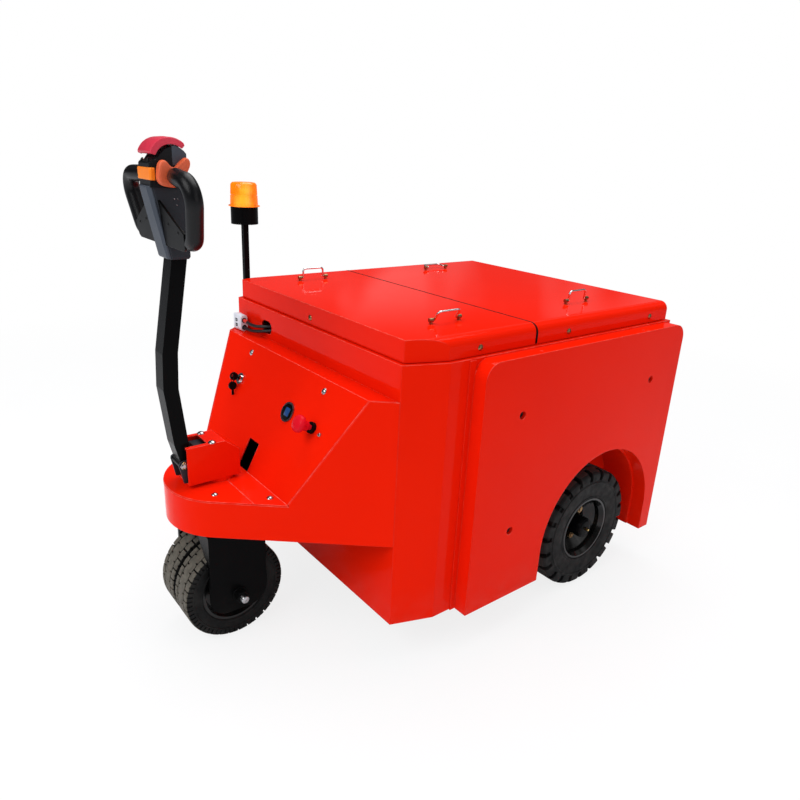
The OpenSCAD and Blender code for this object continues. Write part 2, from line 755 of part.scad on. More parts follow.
module lid_rear() {
    y0 = seam_y + sheet / 2;
    y1 = tail_y - lid_in;
    color("#e01a0a") difference() {
        lid_block(0, y0, y1);
        lid_block(sheet, y0 + sheet, y1 - sheet);
        for (s = [-1, 1])
            for (y = [rear_screw_y0, rear_screw_y1])
                translate([s * (half_w - lid_in), y, screw_z]) rod_x(lid_screw_r + free, 4 * sheet);
        translate([0, y1, screw_z]) rotate([90, 0, 0])
            cylinder(h = 4 * sheet, r = lid_screw_r + free, center = true);
        for (s = [-1, 1])
            for (t = [-1, 1])
                translate([s * bail_x, rear_bail_y + t * bail_w / 2, lid_z - 2 * sheet])
                    cylinder(h = 3 * sheet, r = stem_r + free);
    }
}

// Lid screws and handle feet of one lid
bail_x = half_w * 0.695;
front_bail_y = wall_y + seam_back * 0.512;
rear_bail_y = seam_y + (tail_y - seam_y) * 0.516;
wire_r = sheet * 0.9;
post_w = wire_r * 4;
bail_z = lid_z + wire_r * 3.2;
stem_r = wire_r;
tip_r = wire_r * 0.62;

module handle_feet(x, y) {
    for (t = [-1, 1])
        translate([x, y + t * bail_w / 2, 0]) difference() {
            union() {
                translate([0, 0, lid_z - sheet * 2]) cylinder(h = sheet * 2 + eps, r = stem_r);
                translate([0, 0, lid_z]) cylinder(h = bail_z - lid_z, r = post_w * 0.36);
                translate([0, 0, bail_z]) rotate([90, 0, 0])
                    cylinder(h = post_w, r = post_w * 0.44, center = true);
            }
            translate([0, -t * post_w * 0.6, bail_z]) rotate([90, 0, 0])
                cylinder(h = post_w * 1.6, r = tip_r + fit, center = true);
        }
}

module lid_fittings_front() {
    color("#cfd2d6") {
        for (s = [-1, 1]) {
            translate([s * (half_w - lid_in), front_screw_y, screw_z]) rotate([0, 90 * s, 0])
                dome_screw(lid_screw_r, sheet * 2.4);
            handle_feet(s * bail_x, front_bail_y);
        }
        translate([0, wall_y + lid_in, screw_z]) rotate([90, 0, 0]) dome_screw(lid_screw_r, sheet * 2.4);
    }
}

module lid_fittings_rear() {
    color("#cfd2d6") {
        for (s = [-1, 1]) {
            for (y = [rear_screw_y0, rear_screw_y1])
                translate([s * (half_w - lid_in), y, screw_z]) rotate([0, 90 * s, 0])
                    dome_screw(lid_screw_r, sheet * 2.4);
            handle_feet(s * bail_x, rear_bail_y);
        }
        translate([0, tail_y - lid_in, screw_z]) rotate([-90, 0, 0]) dome_screw(lid_screw_r, sheet * 2.4);
    }
}

// Folding wire handle: lean is measured from upright toward the outside
module bail(x, y, lean) {
    h = bail_w / 2 - post_w * 0.9;
    b = wire_r * 3;
    color("#d6d9dc") translate([x, y, bail_z]) rotate([0, lean, 0]) {
        for (t = [-1, 1]) {
            translate([0, t * (bail_w / 2 - post_w * 0.38), 0]) rotate([90, 0, 0])
                cylinder(h = post_w * 1.04, r = tip_r, center = true);
            translate([0, t * h, -wire_r * 0.2]) cylinder(h = bail_l - b + wire_r * 0.2, r = wire_r);
            translate([0, t * h, 0]) sphere(r = wire_r * 1.1);
            translate([0, t * (h - b), bail_l - b]) rotate([0, -90, 0]) rotate(t > 0 ? 0 : -90)
                rotate_extrude(angle = 90) translate([b, 0]) circle(r = wire_r, $fn = 24);
        }
        translate([0, 0, bail_l]) rotate([90, 0, 0]) cylinder(h = 2 * (h - b), r = wire_r, center = true);
    }
}

module bail_fl() {
    bail(bail_x, front_bail_y, 34);
}

module bail_fr() {
    bail(-bail_x, front_bail_y, 0);
}

module bail_rl() {
    bail(bail_x, rear_bail_y, 4);
}

module bail_rr() {
    bail(-bail_x, rear_bail_y, -84);
}

// Beacon on a square pole beside the far front corner
pole_w = sheet * 5;
pole_x = -(half_f + facet_k * facet_l * 0.38 + pole_w * 0.72);
pole_y = wall_y + facet_l * 0.38;
pole_low = rim_z - lid_h * 3.4;
pole_top = rim_z + lid_h * 3.96;
base_r = beacon_d * 0.435;
base_h = lens_h * 0.73;

module beacon_pole() {
    color("#141516") {
        difference() {
            translate([pole_x, pole_y, (pole_low + pole_top) / 2])
                cube([pole_w, pole_w, pole_top - pole_low], center = true);
            translate([pole_x, pole_y, (pole_low + pole_top) / 2])
                cube([pole_w - sheet, pole_w - sheet, pole_top - pole_low + sheet], center = true);
        }
        for (z = [pole_low + pole_w, rim_z - pole_w * 1.5])
            difference() {
                translate([pole_x + pole_w * 0.9, pole_y, z])
                    cube([pole_w * 0.8, pole_w, pole_w], center = true);
                translate([0, 0, z - pole_w]) linear_extrude(2 * pole_w) body_plan(0);
            }
        translate([pole_x, pole_y, pole_top]) difference() {
            cylinder(h = base_h, r = base_r);
            translate([0, 0, base_h * 0.2]) cylinder(h = base_h, r = base_r - sheet);
        }
    }
}

module beacon_lens() {
    z0 = pole_top + base_h;
    t = sheet * 0.8;
    color("#ff9a10") translate([pole_x, pole_y, z0]) rotate_extrude() polygon([
        [base_r - sheet * 2, 0], [beacon_d / 2, 0], [beacon_d / 2, sheet * 1.4], [base_r, sheet * 2.4],
        [beacon_d * 0.4, lens_h * 0.9], [beacon_d * 0.36, lens_h], [0, lens_h], [0, lens_h - t],
        [beacon_d * 0.34, lens_h - t], [beacon_d * 0.4 - t, lens_h * 0.88], [base_r - t, sheet * 2.4],
        [base_r - sheet * 2, sheet * 2.4]]);
}

// Lamp and reflector inside the beacon
module beacon_lamp() {
    z0 = pole_top + base_h * 0.2;
    color("#ffd76a") translate([pole_x, pole_y, z0]) {
        cylinder(h = base_h, r = base_r * 0.5);
        cylinder(h = base_h + lens_h * 0.55, r = base_r * 0.22);
    }
}

// Battery plug resting on the console top
plug_w = gauge_d * 0.95;
plug_t = gauge_d * 0.42;
plug_x = -half_f * 0.87;
plug_y = wall_y - console_d * 0.42;
plug_z = console_z;

module battery_plug() {
    color("#c4c8cb") difference() {
        box(plug_x - plug_w / 2, plug_x + plug_w / 2, plug_y - plug_t / 2, plug_y + plug_t / 2, plug_z,
            plug_z + plug_w * 0.9);
        for (s = [-1, 1]) {
            translate([plug_x + plug_w * 0.2, plug_y, plug_z + plug_w * (0.45 + s * 0.22)])
                rotate([0, 90, 0]) cylinder(h = plug_w, r = cable_r + free);
            translate([plug_x - plug_w * 0.1, plug_y - plug_t / 2, plug_z + plug_w * (0.45 + s * 0.22)])
                cube([plug_w * 0.34, plug_t * 0.5, plug_w * 0.24], center = true);
        }
    }
}

// Two cables from the front battery through the opening to the plug
cable_r = sheet * 1.45;
cable_sides = 10;
slot_c = [slot_x, wall_y, slot_z];
posts_y = tray_y0 + sheet + gap + block_y / 2;
posts_z = rail_top + sheet + block_h + post_r * 2;
upper_post = [-tray_x + sheet + gap + block_x * post_shares[0], posts_y, posts_z];
lower_post = [-tray_x + sheet + gap + block_x * post_shares[1], posts_y, posts_z];
upper_plug = [plug_x + plug_w / 2, plug_y, plug_z + plug_w * 0.67];
lower_plug = [plug_x + plug_w / 2, plug_y, plug_z + plug_w * 0.23];

// The routes of the cables: steps from the battery post, from the opening and from the plug
upper_from_post = [
    [0, 0, 0], [0, 0, 19], [2, -4, 37], [7, -12, 54], [15, -22, 68], [25, -34, 79], [36, -47, 88],
    [47, -60, 95], [57, -75, 101]];
upper_at_slot = [[6, 41, 0], [6, 22, 1], [-2, 5, 0], [-16, -8, -1], [-33, -16, -3]];
upper_at_plug = [[44, 0, -3], [25, 0, -2], [6, 0, 0], [-13, 0, 0]];
lower_from_post = [
    [0, 0, 0], [0, 0, 19], [-3, -4, 38], [-10, -10, 55], [-21, -18, 68], [-34, -28, 79],
    [-48, -39, 86], [-63, -50, 90], [-78, -62, 93], [-94, -74, 95], [-109, -86, 97]];
lower_at_slot = [[48, 34, -7], [33, 22, -7], [19, 9, -7], [4, -3, -10], [-13, -13, -13], [-31, -18, -16]];
lower_at_plug = [[45, 0, 1], [26, 0, 0], [6, 0, 0], [-13, 0, 0]];
upper_route = [
    for (p = upper_from_post) upper_post + p,
    for (p = upper_at_slot) slot_c + p,
    for (p = upper_at_plug) upper_plug + p];
lower_route = [
    for (p = lower_from_post) lower_post + p,
    for (p = lower_at_slot) slot_c + p,
    for (p = lower_at_plug) lower_plug + p];

function unit(v) = v / norm(v);
function route_dir(p, i) = unit(p[min(i + 1, len(p) - 1)] - p[max(i - 1, 0)]);
function route_side(p, i) =
    i == 0 ? unit(cross(route_dir(p, 0), [1, 0, 0]))
    : let (s = route_side(p, i - 1), t = route_dir(p, i)) unit(s - (s * t) * t);
function route_ring(p, i) =
    let (t = route_dir(p, i), u = route_side(p, i), v = cross(t, u))
    [for (k = [0 : cable_sides - 1])
        p[i] + cable_r * (cos(360 * k / cable_sides) * u + sin(360 * k / cable_sides) * v)];

module cable(p) {
    n = cable_sides;
    last = len(p) - 1;
    polyhedron(
        points = [for (i = [0 : last]) each route_ring(p, i)],
        faces = concat(
            [[for (k = [0 : n - 1]) k]],
            [for (i = [0 : last - 1]) for (k = [0 : n - 1])
                [i * n + k, (i + 1) * n + k, (i + 1) * n + (k + 1) % n]],
            [for (i = [0 : last - 1]) for (k = [0 : n - 1])
                [i * n + k, (i + 1) * n + (k + 1) % n, i * n + (k + 1) % n]],
            [[for (k = [n - 1 : -1 : 0]) last * n + k]]));
}

module battery_cables() {
    color("#1b1b1c") {
        cable(upper_route);
        cable(lower_route);
    }
}

// Key switch, key and spare key
module key_switch() {
    color("#d5d7da") on_slope(lock_u, lock_v, 0) difference() {
        union() {
            translate([0, 0, -sheet * 8]) cylinder(h = sheet * 8 + eps, r = lock_r);
            cylinder(h = sheet * 1.2, r = lock_r * 1.35);
            cylinder(h = sheet * 3, r = lock_r * 0.9);
            translate([0, 0, -sheet - lock_r * 0.5]) cylinder(h = lock_r * 0.5, r = lock_r * 1.3, $fn = 6);
        }
        translate([0, 0, -sheet * 2]) cylinder(h = sheet * 6, r = lock_r * 0.3 + fit);
    }
}

key_w = lock_r * 1.9;
key_t = lock_r * 0.5;
key_h = sheet * 5.5;

module ignition_key() {
    color("#121213") on_slope(lock_u, lock_v, 0) difference() {
        union() {
            translate([0, 0, -sheet]) cylinder(h = key_h, r = lock_r * 0.3);
            translate([0, 0, key_h + key_w * 0.4 - sheet]) rod_x(key_w / 2, key_t);
        }
        translate([0, 0, key_h + key_w * 0.66 - sheet]) rod_x(key_w * 0.14, key_t * 2);
    }
}

ring_r = key_w * 0.42;
ring_w = key_w * 0.05;
key_hole = key_h + key_w * 0.66 - sheet;
key_hole_y = slope_low_y + lock_v * sin(panel_lean) - key_hole * cos(panel_lean);
key_hole_z = deck_z + lock_v * cos(panel_lean) + key_hole * sin(panel_lean);

module spare_key() {
    color("#121213") translate([lock_u, key_hole_y, key_hole_z - ring_r]) {
        rotate([90, 0, 0]) rotate_extrude() translate([ring_r, 0]) circle(r = ring_w);
        translate([0, 0, -ring_r - key_w / 2 + ring_w]) {
            rod_x(key_w / 2, key_t);
            translate([0, 0, -key_w * 0.8]) cube([key_t * 0.3, key_w * 0.3, key_w * 0.8], center = true);
        }
    }
}

// Charge gauge
module gauge() {
    color("#b9bcc4") on_slope(gauge_u, gauge_v, 0) difference() {
        union() {
            translate([0, 0, -sheet * 9]) cylinder(h = sheet * 9 + eps, r = gauge_d * 0.44);
            cylinder(h = sheet, r = gauge_d / 2);
        }
        translate([0, 0, sheet * 0.5]) cylinder(h = sheet * 2, r = gauge_d * 0.42);
    }
}

// Emergency stop: collar in the panel and the sliding mushroom
stop_h = stop_d * 0.92;
stem_s = stop_d * 0.15;

module stop_base() {
    color("#1a1b1c") on_slope(stop_u, stop_v, 0) difference() {
        union() {
            translate([0, 0, -stop_d]) cylinder(h = stop_d + eps, r = stop_neck_r);
            cylinder(h = sheet * 2.4, r = stop_d * 0.33);
        }
        translate([0, 0, -stop_d * 0.7]) cylinder(h = 2 * stop_d, r = stem_s + fit);
    }
}

module stop_button() {
    color("#d8121a") on_slope(stop_u, stop_v, 0) {
        translate([0, 0, -stop_d * 0.4]) cylinder(h = stop_d * 0.4 + stop_h * 0.6, r = stem_s);
        rotate_extrude() polygon([
            [0, stop_h * 0.5], [stop_d * 0.3, stop_h * 0.5], [stop_d * 0.27, stop_h * 0.66],
            [stop_d * 0.46, stop_h * 0.84], [stop_d / 2, stop_h], [stop_d * 0.48, stop_h * 1.12],
            [stop_d * 0.34, stop_h * 1.22], [0, stop_h * 1.26]]);
    }
}

// Bushes and thrust ring of the steering bearing
module steer_bushes() {
    color("#a8803c") translate([0, front_y, 0]) {
        for (z = [beam_z, beam_z + beam_h * 0.68])
            translate([0, 0, z]) difference() {
                cylinder(h = beam_h * 0.32, r = bush_r);
                translate([0, 0, -eps]) cylinder(h = beam_h, r = kingpin_r + fit);
            }
        difference() {
            translate([0, 0, crown_z + free]) cylinder(h = beam_z - crown_z - free, r = housing_r * 0.8);
            translate([0, 0, crown_z]) cylinder(h = beam_h, r = kingpin_r + fit);
        }
    }
}

// Fork: kingpin, crown, front gusset and two side plates with rounded lower corners
module fork_plate() {
    difference() {
        union() {
            translate([front_y - fork_half, fork_low + fork_corner])
                square([2 * fork_half, crown_z - fork_low - fork_corner]);
            translate([front_y - fork_half + fork_corner, fork_low])
                square([2 * (fork_half - fork_corner), crown_z - fork_low]);
            for (s = [-1, 1])
                translate([front_y + s * (fork_half - fork_corner), fork_low + fork_corner])
                    circle(r = fork_corner);
        }
        translate([front_y, front_r]) circle(r = bolt_r + fit);
    }
}

module fork() {
    color("#151617") {
        for (s = [-1, 1])
            translate([s * (fork_in + fork_t / 2), 0, 0]) along_x(fork_t) fork_plate();
        box(-fork_in - fork_t, fork_in + fork_t, front_y - fork_half, front_y + fork_half,
            crown_z - crown_t, crown_z);
        translate([0, front_y, crown_z - eps]) cylinder(h = bracket_z - crown_z + eps, r = kingpin_r);
        for (s = [-1, 1])
            translate([s * (fork_in - front_w * 0.25), front_y - fork_half + fork_t / 2, 0])
                rotate([90, 0, 0]) linear_extrude(fork_t, center = true) polygon([
                    [-s * fork_in * 0.6, crown_z], [s * front_w * 0.25, crown_z],
                    [s * front_w * 0.25, crown_z - front_w * 0.9], [s * front_w * 0.1,
                        crown_z - front_w * 0.9]]);
    }
}

// Front axle bolt with its two nuts
module front_axle() {
    end = fork_in + fork_t;
    color("#8d9196") translate([0, front_y, front_r]) {
        rod_x(bolt_r, 2 * (end + bolt_r * 3.3));
        for (s = [-1, 1]) {
            translate([s * (end + bolt_r * 0.15), 0, 0]) rod_x(bolt_r * 1.9, bolt_r * 0.3);
            translate([s * (end + bolt_r * 1.15), 0, 0]) rotate([0, 90, 0])
                cylinder(h = bolt_r * 1.7 + eps, r = bolt_r * 1.65, center = true, $fn = 6);
        }
    }
}

// Front wheel: rim with hub, and a tyre with fine blocks
front_lug_n = 30;

module front_rim(s) {
    x0 = front_gap + front_w * 0.06;
    x1 = front_gap + front_w * 0.94;
    w = (x0 + x1) / 2;
    color("#17181a") translate([0, front_y, front_r]) rotate([0, 90 * s, 0]) difference() {
        rotate_extrude() polygon([
            [hub_r * 0.4, free], [hub_r, free], [hub_r, w - sheet], [front_rim_r * 0.84, w - sheet * 2],
            [front_rim_r * 0.88, x0], [front_rim_r, x0], [front_rim_r, x0 + sheet],
            [front_rim_r * 0.94, x0 + sheet * 3], [front_rim_r * 0.94, x1 - sheet * 3],
            [front_rim_r, x1 - sheet], [front_rim_r, x1],
            [front_rim_r * 0.92, x1], [front_rim_r * 0.84, w + sheet * 2], [hub_r, w + sheet],
            [hub_r, fork_in - free], [hub_r * 0.4, fork_in - free]]);
        translate([0, 0, -front_w]) cylinder(h = 4 * front_w, r = bolt_r + fit);
    }
}

module front_rim_l() {
    front_rim(1);
}

module front_rim_r_side() {
    front_rim(-1);
}

module front_tyre(s) {
    a = front_gap;
    b = front_gap + front_w;
    x0 = front_gap + front_w * 0.06;
    x1 = front_gap + front_w * 0.94;
    color("#2a2b2c") translate([0, front_y, front_r]) rotate([0, 90 * s, 0]) difference() {
        rotate_extrude() polygon([
            [front_rim_r * 0.94, x0 + sheet * 3], [front_rim_r, x0 + sheet], [front_rim_r, x0],
            [front_r * 0.8, a], [front_r * 0.96, a], [front_r, a + front_w * 0.06],
            [front_r, b - front_w * 0.06], [front_r * 0.96, b], [front_r * 0.8, b],
            [front_rim_r, x1], [front_rim_r, x1 - sheet], [front_rim_r * 0.94, x1 - sheet * 3]]);
        for (i = [0 : front_lug_n - 1]) {
            rotate((i + 0.5) * 360 / front_lug_n) translate([front_r, 0, b - front_w * 0.1])
                cube([front_r * 0.09, front_r * 0.035, front_w * 0.4], center = true);
            rotate((i + 0.5) * 360 / front_lug_n) translate([front_r, 0, a + front_w * 0.1])
                cube([front_r * 0.09, front_r * 0.035, front_w * 0.4], center = true);
        }
    }
}

module front_tyre_l() {
    front_tyre(1);
}

module front_tyre_r() {
    front_tyre(-1);
}

// Steering bracket: folded box over the kingpin, open at the front, with two cheeks for the pivot
bracket_bolt_x = bracket_w * 0.41;
bracket_bolt_y = front_y - front_d * 0.088;
bracket_bolt_r = sheet * 1.5;
slot_back = front_y - front_d * 0.13;

module bracket_side(i) {
    y0 = bracket_front - (i > 0 ? i : 0);
    polygon([
        [y0, bracket_z + i], [y0, bracket_top - i],
        [front_y + front_d * 0.026 - i * 0.3, bracket_top - i],
        [bracket_back - i, bracket_top - bracket_h * 0.29 - i * 0.6], [bracket_back - i, bracket_z + i]]);
}

module bracket() {
    color("#e01a0a") difference() {
        union() {
            difference() {
                along_x(bracket_w) bracket_side(0);
                along_x(bracket_w - 2 * bracket_t) bracket_side(bracket_t);
            }
            translate([0, front_y, beam_z + beam_h + free])
                cylinder(h = bracket_z + bracket_t / 2 - beam_z - beam_h - free, r = neck_r);
        }
        translate([0, front_y, beam_z]) cylinder(h = bracket_z - beam_z + fit, r = kingpin_r + fit);
        box(-bracket_w * 0.36, bracket_w * 0.36, bracket_front - bracket_w, slot_back,
            bracket_top - 2 * bracket_t, bracket_top + bracket_t);
        for (s = [-1, 1])
            translate([s * bracket_bolt_x, bracket_bolt_y, bracket_top - 3 * bracket_t])
                cylinder(h = 4 * bracket_t, r = bracket_bolt_r + free);
    }
}

// Button-head bolts on top of the bracket
module bracket_bolts() {
    color("#c9ccd0") for (s = [-1, 1])
        translate([s * bracket_bolt_x, bracket_bolt_y, bracket_top])
            dome_screw(bracket_bolt_r, bracket_t * 2);
}

// Dark clevis on the floor of the bracket: its two lugs carry the pivot bolt in front of the box
module pivot_clevis() {
    y0 = slot_back - bracket_w * 0.3;
    y1 = slot_back + bracket_w * 0.1;
    z0 = bracket_z + bracket_t;
    color("#3d4249") difference() {
        union() {
            box(-lug_x - lug_t / 2, lug_x + lug_t / 2, y0, y1, z0, bracket_top - bracket_t * 2.5);
            for (s = [-1, 1])
                translate([s * (lug_x + lug_t / 2), 0, 0]) along_x(lug_t) {
                    translate([pivot_y, pivot_z]) circle(r = lug_r);
                    polygon([
                        [pivot_y, pivot_z + lug_r], [y1 - bracket_t, pivot_z + lug_r],
                        [y1 - bracket_t, z0 + free], [pivot_y, z0 + free],
                        [pivot_y - lug_r, pivot_z]]);
                }
        }
        translate([0, pivot_y, pivot_z]) rod_x(pivot_r + fit, bracket_w);
    }
}

// Pivot bolt through the foot of the arm and both lugs
module pivot_pin() {
    color("#c2c5c9") translate([0, pivot_y, pivot_z]) {
        rod_x(pivot_r, 2 * (lug_x + lug_t + nut_room * 0.9));
        for (s = [-1, 1])
            translate([s * (lug_x + lug_t + nut_room * 0.35), 0, 0]) rotate([0, 90, 0])
                cylinder(h = nut_room * 0.7, r = pivot_r * 1.8, center = true, $fn = 6);
    }
}

// Tiller arm: bent rectangular tube, side outline moved inward by i
arm_y0 = stem_y - arm_w * 0.2;
arm_z0 = stem_z + arm_w * 0.55;
arm_y1 = arm_y0 - arm_w * 0.41;
arm_z1 = stem_z + arm_w * 4.41;
arm_y2 = arm_y1 + arm_w * 0.09;
arm_z2 = arm_z1 + arm_w * 1.8;
arm_y3 = arm_y2 + arm_w * 0.86;
arm_z3 = arm_z2 + arm_w * 5.1;

module arm_outline(i) {
    h = arm_d / 2 - i;
    polygon([
        [arm_y0 + h, arm_z0], [arm_y1 + h, arm_z1], [arm_y2 + h, arm_z2 + i],
        [arm_y3 + h, arm_z3 + arm_w * 0.07], [arm_y3 - h, arm_z3 - arm_w * 0.07],
        [arm_y2 - h, arm_z2 - i], [arm_y1 - h, arm_z1],
        [arm_y0 - h - arm_w * 0.08, arm_z0 + arm_w * 0.9], [arm_y0 - h + arm_d * 0.2, arm_z0]]);
}

module tiller_arm() {
    color("#131415") difference() {
        union() {
            along_x(arm_w) arm_outline(0);
            along_x(arm_w) polygon([
                [arm_y0 + arm_d / 2, arm_z0 + eps], [arm_y0 - arm_d * 0.3, arm_z0 + eps],
                [pivot_y - foot_r, pivot_z], [pivot_y, pivot_z - foot_r], [pivot_y + foot_r, pivot_z]]);
            translate([0, pivot_y, pivot_z]) rod_x(foot_r, arm_w);
        }
        difference() {
            along_x(arm_w - 2 * arm_t) arm_outline(arm_t);
            box(-arm_w, arm_w, stem_y - wall_back, stem_y + wall_back, stem_z - arm_w, arm_z0 + arm_w);
        }
        translate([0, pivot_y, pivot_z]) rod_x(pivot_r + fit, 2 * arm_w);
    }
}

// Tiller head: column, cap block and round top under the belly button
head_y = stem_y;
head_z = arm_z3 - arm_w * 0.65;
head_w = arm_w * 1.64;
col_w = arm_w * 1.3;
cap_y = head_y + arm_w * 0.05;
cap_z = head_z + arm_w * 4.25;
cap_r = arm_w * 0.69;
pad_in = cap_r + arm_w * 0.11;
pad_out = pad_in + arm_w * 0.2;
pad_travel = arm_w * 0.09;
stalk_w = arm_w * 0.5;
wing_y = head_y - arm_w * 0.36;
wing_z = head_z + arm_w * 3.61;
wing_r = arm_w * 0.48;
root_r = grip_r * 0.8;
horn_z0 = head_z + arm_w * 3.46;
horn_z1 = head_z + arm_w * 4.0;
front_face = head_y - arm_w * 0.9;
back_face = head_y + arm_w * 0.74;

// A point of the line between the column and the spine cover, k arm widths above its foot
function spine_back(k) = [
    head_y - arm_w * 0.18 + (front_face - head_y + arm_w * 0.26) * k / 3.2, head_z + arm_w * k];

module head_body() {
    color("#1a1c1e") difference() {
        union() {
            along_x(col_w) polygon([
                spine_back(0), spine_back(3.2), [back_face, head_z + arm_w * 3.2],
                [back_face, head_z + arm_w * 0.1]]);
            along_x(head_w) polygon([
                [front_face, head_z + arm_w * 3.15], [front_face, cap_z - arm_w * 0.1],
                [cap_y - cap_r, cap_z - arm_w * 0.02], [cap_y + cap_r * 0.9, cap_z + arm_w * 0.26],
                [back_face, cap_z + arm_w * 0.2], [back_face, head_z + arm_w * 3.15]]);
            translate([0, cap_y, cap_z]) rod_x(cap_r, head_w);
        }
        along_x(arm_w + 2 * fit) arm_outline(-fit);
        box(-head_w / 4 - free, head_w / 4 + free, cap_y - stalk_w / 2 - free, cap_y + stalk_w / 2 + free,
            cap_z - pad_travel * 3, cap_z + cap_r * 2);
        box(-head_w / 2 - eps, head_w / 2 + eps, front_face - arm_w, front_face + arm_w * 0.3 + free,
            horn_z0 - free, horn_z1 + free);
        translate([0, wing_y, wing_z]) for (s = [-1, 1])
            translate([s * head_w / 2, 0, 0]) rod_x(root_r, head_w * 0.3);
    }
}

// Red belly button over the round top
module belly_pad() {
    a0 = 160;
    a1 = 48;
    color("#c81e38") {
        translate([0, cap_y, cap_z]) difference() {
            rod_x(pad_out, head_w);
            rod_x(pad_in, head_w * 2);
            along_x(head_w * 2) polygon([
                [0, 0], [pad_out * 4 * cos(a0), pad_out * 4 * sin(a0)], [-pad_out * 4, -pad_out * 4],
                [pad_out * 4, -pad_out * 4], [pad_out * 4 * cos(a1), pad_out * 4 * sin(a1)]]);
        }
        box(-head_w / 4, head_w / 4, cap_y - stalk_w / 2, cap_y + stalk_w / 2, cap_z,
            cap_z + (pad_in + pad_out) / 2);
    }
}

// Orange button across the front of the head
module horn_button() {
    color("#f58a12") box(-head_w / 2, head_w / 2, front_face - arm_w * 0.04, front_face + arm_w * 0.13,
        horn_z0, horn_z1);
}

// Bevelled cover down the front of the column
module spine_cover() {
    w0 = arm_w * 0.62;
    color("#3d4753") difference() {
        along_x(2 * w0) polygon([
            spine_back(0), spine_back(3.1), [front_face - free, head_z + arm_w * 3.1],
            [front_face - free, head_z + arm_w * 3.24], [front_face - arm_w * 0.06, head_z + arm_w * 3.24],
            [front_face - arm_w * 0.12, head_z + arm_w * 3.12],
            [head_y - arm_w * 0.36, head_z + arm_w * 0.06]]);
        for (s = [-1, 1])
            translate([s * w0, head_y - arm_w * 1.0, 0]) rotate([0, 0, s * 45])
                box(-arm_w * 0.24, arm_w * 0.24, -arm_w * 0.24, arm_w * 0.24, head_z - arm_w, cap_z);
    }
}

// Two closed grips bent from round bar in one tilted plane, with their webs
loop_top = wing_z;
loop_lean = atan(tilt_k);
loop_r = grip_r * 2.06;
loop_h = arm_w * 2.57;
loop_in = grip_x * 0.137;
loop_low_r = grip_r * 1.22;
loop_c1 = [grip_x - loop_r, -loop_r];
loop_c2 = [grip_x - loop_in - loop_low_r, loop_low_r - loop_h];
loop_d = loop_c2 - loop_c1;
leg_ang = -atan2(loop_d[1], loop_d[0]) - acos((loop_r - loop_low_r) / norm(loop_d));

// Straight bar in the plane of the grips, from point a to point b
module bar(a, b, r) {
    d = b - a;
    translate([a[0], 0, a[1]]) rotate([0, atan2(d[0], d[1]), 0]) translate([0, 0, -eps])
        cylinder(h = norm(d) + 2 * eps, r = r);
}

// Bent bar in the plane of the grips, centred at c, from angle a over w degrees
module bend(c, q, a, w, r) {
    translate([c[0], 0, c[1]]) rotate([90, 0, 0]) rotate(a) rotate_extrude(angle = w)
        translate([q, 0]) circle(r = r - eps);
}

module grip_half() {
    c1 = loop_c1;
    c2 = loop_c2;
    p1 = c1 + loop_r * [cos(leg_ang), -sin(leg_ang)];
    p2 = c2 + loop_low_r * [cos(leg_ang), -sin(leg_ang)];
    bar([head_w * 0.4, 0], [head_w / 2 + arm_w * 0.5, 0], root_r);
    bar([head_w / 2 + arm_w * 0.49, 0], [c1[0], 0], grip_r);
    bend(c1, loop_r, -leg_ang, 90 + leg_ang, grip_r);
    bar(p1, p2, grip_r);
    bend(c2, loop_low_r, -90, 90 - leg_ang, grip_r);
    bar([col_w * 0.42, -loop_h], [c2[0], -loop_h], grip_r);
    rotate([90, 0, 0]) linear_extrude(grip_r * 0.5, center = true) polygon([
        [col_w * 0.42, -loop_h], [c2[0], -loop_h], p2, p2 + (p1 - p2) * 0.3,
        [col_w * 0.42, -loop_h * 0.45]]);
}

module grip_loops() {
    color("#16181a") difference() {
        translate([0, wing_y, loop_top]) rotate([loop_lean, 0, 0]) {
            grip_half();
            mirror([1, 0, 0]) grip_half();
        }
        along_x(col_w) square([8 * wall_back, 4 * console_z], center = true);
    }
}

// Thumb wings on the grip roots: a lobe with a short front ear and a long rear ear
module wing(s) {
    w = arm_w * 0.46;
    x0 = head_w / 2 + free;
    color("#e2622c") translate([s * (x0 + w / 2), wing_y, wing_z]) difference() {
        union() {
            rod_x(wing_r * 0.78, w);
            translate([0, wing_r * 0.72, -wing_r * 0.06]) rod_x(wing_r * 0.83, w);
            along_x(w) polygon([
                [-wing_r * 0.6, 0], [-wing_r * 0.62, wing_r * 1.1], [-wing_r * 0.25, wing_r * 1.55],
                [wing_r * 0.26, wing_r * 1.25], [wing_r * 0.5, wing_r * 0.92],
                [wing_r * 1.15, wing_r * 0.92], [wing_r * 1.35, wing_r * 1.2],
                [wing_r * 2.0, wing_r * 1.85], [wing_r * 2.37, wing_r * 1.45],
                [wing_r * 2.1, wing_r * 0.55], [wing_r * 1.3, -wing_r * 0.4], [wing_r * 0.7, 0]]);
        }
        rod_x(root_r + fit, 2 * w);
    }
}

module wing_l() {
    wing(1);
}

module wing_r_side() {
    wing(-1);
}

// Tow hitch on the rear wall with its loose pin
hitch_z = rail_z + rail_h * 0.5;
hitch_s = rail_h * 0.62;
hitch_bolt_r = pin_d * 0.24;
hitch_w = rail_h * 2;
jaw_l = pin_d * 3.2;
jaw_t = pin_d * 0.5;
jaw_gap = pin_d * 1.8;
pin_y = tail_y + bulk_t + jaw_l * 0.6;

